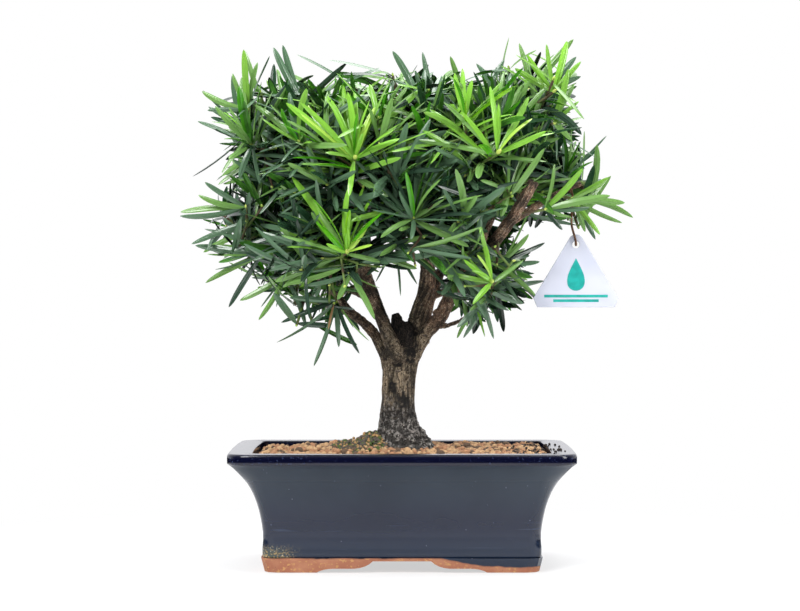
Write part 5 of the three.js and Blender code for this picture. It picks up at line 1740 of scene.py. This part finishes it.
for space, stem_route, shoots in trees.values():
    stem = [curve_point(stem_route, share) for share in np.linspace(0, 1, 13)]
    twig_lines.append((stem, STEM_RADIUS, SHOOT_RADIUS))
    sprays += shoots
    for shoot in shoots:
        for direction, up, length, *_ in shoot["leaves"]:
            take(leaf_path(shoot["site"], direction, up, length)[6:])
for space, stem_route, shoots in trees.values():
    sprays += fine_shoots(space, stem_route, shoots, chance)
for x, z in CROWN_TIPS:
    leaf = tip_leaf(x, z)
    if leaf:
        take(leaf_path(*leaf[:4])[6:])
        keep_leaf(leaf, spray_mood(leaf[0], chance))
for x, z, y, young, tips in FANS:
    site = placed(x, z, y)
    fork = nearest_wood(site)
    for leaf in fan_leaves(site, tips, chance):
        take(leaf_path(*leaf[:4])[4:])
        keep_leaf(leaf, young)
    twig_lines.append((bend_line(fork, site, 7), SHOOT_RADIUS, SHOOT_RADIUS * SHOOT_TAPER))
    buds.append((site, unit(site - fork), young))
sprays.sort(key=lambda shoot: feature_of(shoot["site"]) is None)
for shoot in sprays:
    site, featured = shoot["site"], feature_of(shoot["site"])
    mood = spray_mood(site, chance)
    kept = []
    for direction, up, length, _, rise in shoot["leaves"]:
        spots = leaf_path(site, direction, up, length)
        if within_outline(spots[-3:], 1.1).all() and not is_open_sky(spots[3:]).any():
            start = site - shoot["axis"] * 4 * (1 - rise)
            kept.append((start, direction, up, length, float(np.clip(0.75 - 0.6 * rise, 0, 1))))
    if featured:
        kept = kept[:featured[5] // 3]
    count = featured[5] if featured else SPRAY_LEAVES - len(kept) // 2
    for leaf in kept + spray_leaves(shoot, chance, count):
        keep_leaf(leaf, mood)
    thick = SHOOT_RADIUS if shoot["leaves"] else SHOOT_RADIUS * 0.8
    twig_lines.append((bend_line(shoot["fork"], site, 7), thick, thick * SHOOT_TAPER))
    buds.append((site, shoot["axis"], mood))
print("sprays", len(buds), "leaves", {name: len(some) for name, some in all_leaves.items()},
      sum(len(some) for some in all_leaves.values()))

# %% [markdown]
# ## The shape of a leaf
# A podocarpus leaf is a narrow strap, widest in the middle half and bluntly pointed, with a
# raised midrib and edges that turn down. It is one strip of quads seven points wide, bent
# along the midrib's path and twisted by chance. All leaves of a tone class, by age or by
# painted shade, make one mesh.

# %% Leaf mesh
LEAF_ROWS = np.array([0, 0.04, 0.12, 0.26, 0.44, 0.62, 0.78, 0.89, 0.96, 1])
LEAF_HALF_WIDTHS = np.array([0.14, 0.28, 0.62, 0.92, 1, 1, 0.92, 0.72, 0.44, 0.08])
LEAF_WIDTHS = (4.7, 6.7)
LEAF_ACROSS = np.array([-1, -0.56, -0.12, 0, 0.12, 0.56, 1])
LEAF_RISE = np.array([-0.62, 0.1, 0.1, 0.62, 0.1, 0.1, -0.62])


def leaf_sheet(leaves, chance):
    """Points and quads of many leaves."""
    rows, across = len(LEAF_ROWS), len(LEAF_ACROSS)
    points = np.zeros((len(leaves), rows, across, 3))
    for index, leaf in enumerate(leaves):
        spin = chance.normal() * 0.4
        start, direction, up, length, _ = leaf
        side = np.cross(up, direction)
        arch, sickle = chance.uniform(-0.03, 0.03), chance.normal() * 0.02
        line = leaf_path(start, direction, up, length, arch, sickle, LEAF_ROWS)
        twist = spin + chance.normal() * 0.35 * LEAF_ROWS
        half = 0.5 * chance.uniform(*LEAF_WIDTHS) * LEAF_HALF_WIDTHS
        half = half * lerp(0.8, 1, smooth(30, 55, length))
        cup = chance.uniform(0.4, 1.3)
        level = LEAF_RISE * np.where(LEAF_RISE < 0, cup, 1)
        level = level * smooth(0, 0.15, LEAF_ROWS)[:, None] * (half / half.max())[:, None]
        flat = np.cos(twist)[:, None] * side + np.sin(twist)[:, None] * up
        tall = -np.sin(twist)[:, None] * side + np.cos(twist)[:, None] * up
        points[index] = (line[:, None] + (half[:, None] * LEAF_ACROSS)[..., None] * flat[:, None]
                         + level[..., None] * tall[:, None])
    grid = np.arange(rows * across).reshape(rows, across)
    quads = np.stack([grid[:-1, :-1], grid[:-1, 1:], grid[1:, 1:], grid[1:, :-1]], -1).reshape(-1, 4)
    faces = quads[None] + (np.arange(len(leaves)) * rows * across)[:, None, None]
    return points.reshape(-1, 3), faces.reshape(-1, 4).tolist()
print("quads in a leaf", (len(LEAF_ROWS) - 1) * (len(LEAF_ACROSS) - 1))

# %% [markdown]
# ## Leaf finish
# The upper side is leathery with a waxy sheen that goes nearly white where it mirrors the
# soft box; the underside is paler and duller. The Backfacing output tells the two apart on a
# one-sheet leaf. A mottle at the scale of a centimetre keeps neighbouring leaves from
# matching exactly.

# %% Leaf materials
LEAF_COLOURS = {  # upper side, lighter mottle, underside, roughness
    "shade": ("#0b1b12", "#14281b", "#283c2e", 0.2),
    "old": ("#22402a", "#2f5337", "#4d694f", 0.2),
    "grown": ("#356620", "#447a2a", "#638a46", 0.24),
    "fresh": ("#3d8416", "#4a931f", "#6c9c3a", 0.22),
    "lime": ("#479710", "#57a818", "#76ae38", 0.24),
    "gold": ("#68a816", "#7cb822", "#98c048", 0.26),
    "dry": ("#5c3a22", "#8a6a3a", "#8c6c48", 0.5),
}


def leaf_finish(name, upper, mottle, under, roughness):
    material, tree, inputs = new_material(name + "_leaf", upper, roughness, IOR=1.43,
                                          Coat_Weight=0.22, Coat_Roughness=0.12)
    where = place_vector(tree)
    top = layered(tree, upper, where, (blotches, (75, 2, 0.38, 0.64), mottle))
    turned = add_node(tree, "ShaderNodeNewGeometry").outputs["Backfacing"]
    put(tree, inputs["Base Color"], mix_colours(tree, turned, top, under))
    add_bump(tree, inputs, where, (700, 2, 0.5), 0.08, 0.0003)
    return material


LEAF_LIMIT = 1700
chance = np.random.default_rng(8)
finishes = {name: leaf_finish(name, *LEAF_COLOURS[name]) for name in CLASSES}
for name in CLASSES:
    leaves = all_leaves[name]
    for batch in range(0, len(leaves), LEAF_LIMIT):
        sheet = leaf_sheet(leaves[batch:batch + LEAF_LIMIT], chance)
        stand_in = list(MASSES) if name == "old" and batch == 0 else ()
        make_piece(f"{name}_leaves_{batch // LEAF_LIMIT + 1}", *sheet, finishes[name], "foliage", stand_in)

# %% [markdown]
# ## Twigs and buds
# Thin twigs are brown clouded with green. They are small tubes of six sides, joined. Each
# spray ends in a small pointed cream-green bud.

# %% Twigs
twig_finish = clouded_finish("green_twig", "#4d5a2c", 0.7, "#4a3b26", (60, 3, 0.42, 0.6), "#5f7a35",
                             ((600, 3, 0.6), 0.5, 0.0005))
twigs = [tube_rings(line, np.linspace(first, last, len(line)), 6) for line, first, last in twig_lines]
make_piece("twigs", *join_lofts(twigs), twig_finish, "bark")

# %% [markdown]
# A bud is a ball drawn out along its shoot and narrowed at the tip. Young sprays have the
# larger ones.

# %% Buds
bud_finish = clouded_finish("young_bud", "#b9cf63", 0.5, "#84a53a", (150, 2, 0.4, 0.6), "#bccb62")
ball, ball_faces = ball_mesh(2)
points, faces = [], []
for index, (site, axis, mood) in enumerate(buds):
    turn = rotate_to(axis, 0)
    size = lerp(1.05, 2.0, smooth(0.2, 1, mood))
    shape = ball * [size, size, size * 1.9]
    shape[:, :2] *= (1 - 0.35 * np.clip(ball[:, 2:], 0, 1))
    points.append(site + (shape + [0, 0, size * 0.8]) @ turn.T)
    faces.append(ball_faces + index * len(ball))
make_piece("buds", np.concatenate(points), np.concatenate(faces).tolist(), bud_finish, "foliage")

# %% [markdown]
# ## Tag and wire
# The tag is a glossy white plastic plate with clipped corners and a soft edge, printed with
# a plain teal drop over two bars. It carries no words. A bevel modifier rounds the plate's
# rim, and the print is a thin skin just proud of the face.

# %% Tag plate
def plate_outline():
    half, top = TAG["width"] / 2, TAG["top"] / 2
    return [(-half + 3.4, 0), (half - 3.4, 0), (half, TAG["corner"]), (top, TAG["height"] - 2),
            (top - 3, TAG["height"]), (-top + 3, TAG["height"]), (-top, TAG["height"] - 2),
            (-half, TAG["corner"])]


def flat_shape(outline, y, thick):
    """An upright plate from an outline in x and z, given from the tag's lower middle."""
    count = len(outline)
    points = [(TAG["x"] + x, y + side * thick / 2, TAG["bottom"] + z)
              for side in (-1, 1) for x, z in outline]
    faces = [list(range(count)), list(range(2 * count - 1, count - 1, -1))]
    faces += [[i, i + count, (i + 1) % count + count, (i + 1) % count] for i in range(count)]
    return points, faces


plastic = clouded_finish("white_plastic", "#bcbfcc", 0.22, "#b6bac8", (22, 2, 0.35, 0.7), "#c2c5d2",
                         ((25, 1, 0.4), 0.15, 0.0006), Coat_Weight=0.4, Coat_Roughness=0.05)
sheet = flat_shape(plate_outline(), TAG["y"], TAG["thickness"])
plate = make_piece("tag_plate", *sheet, plastic, "tag", ["tag"], smooth=False)
hole = (TAG["x"], TAG["y"], TAG["bottom"] + TAG["height"] - TAG["hole_below"])
upright = Vector((0, 0, 1)).rotation_difference(Vector((0, 1, 0))).to_matrix()
cutter = cut_round_holes(plate, [hole], TAG["hole"], 10, 32, upright)
edge = plate.modifiers.new("soft_edge", "BEVEL")
edge.width = 0.45 * MM
edge.segments = 3
edge.limit_method = "ANGLE"
apply_modifiers(plate, cutter)

# %% [markdown]
# The print could be an image, but a few thin plates stay sharp from close by.

# %% Tag print
ink = clouded_finish("teal_ink", "#17968e", 0.35, "#138f87", (160, 2, 0.3, 0.7), "#1aa097")
turn = np.linspace(0, 2 * math.pi, 40, endpoint=False)
drop = [(11 * math.sin(a) * math.sin(a / 2) ** 1.4, 29 + 14.5 * math.cos(a)) for a in turn]
print_shapes = [drop]
for half, low in ((28, 8.6), (20, 4.6)):
    print_shapes.append([(-half, low), (half, low), (half, low + 2.4), (-half, low + 2.4)])
points, faces = [], []
for outline_points in print_shapes:
    more, more_faces = flat_shape(outline_points, TAG["y"] - TAG["thickness"] / 2 - 0.04, 0.12)
    faces.extend([[i + len(points) for i in face] for face in more_faces])
    points.extend(more)
make_piece("tag_print", points, faces, ink, "tag", smooth=False)

# %% [markdown]
# The wire is soft steel with a brown coat, one round tube along the route found above.

# %% Wire
wire_finish = clouded_finish("coated_wire", "#6b4a33", 0.42, "#5b3c28", (300, 3, 0.5, 0.66), "#9a7a5c",
                             Metallic=0.55)
line = wire_line(90)
coat = join_lofts([tube_rings(line, [WIRE_RADIUS] * len(line), 12)])
make_piece("tag_wire_coat", *coat, wire_finish, "wire", ["tag_wire"])
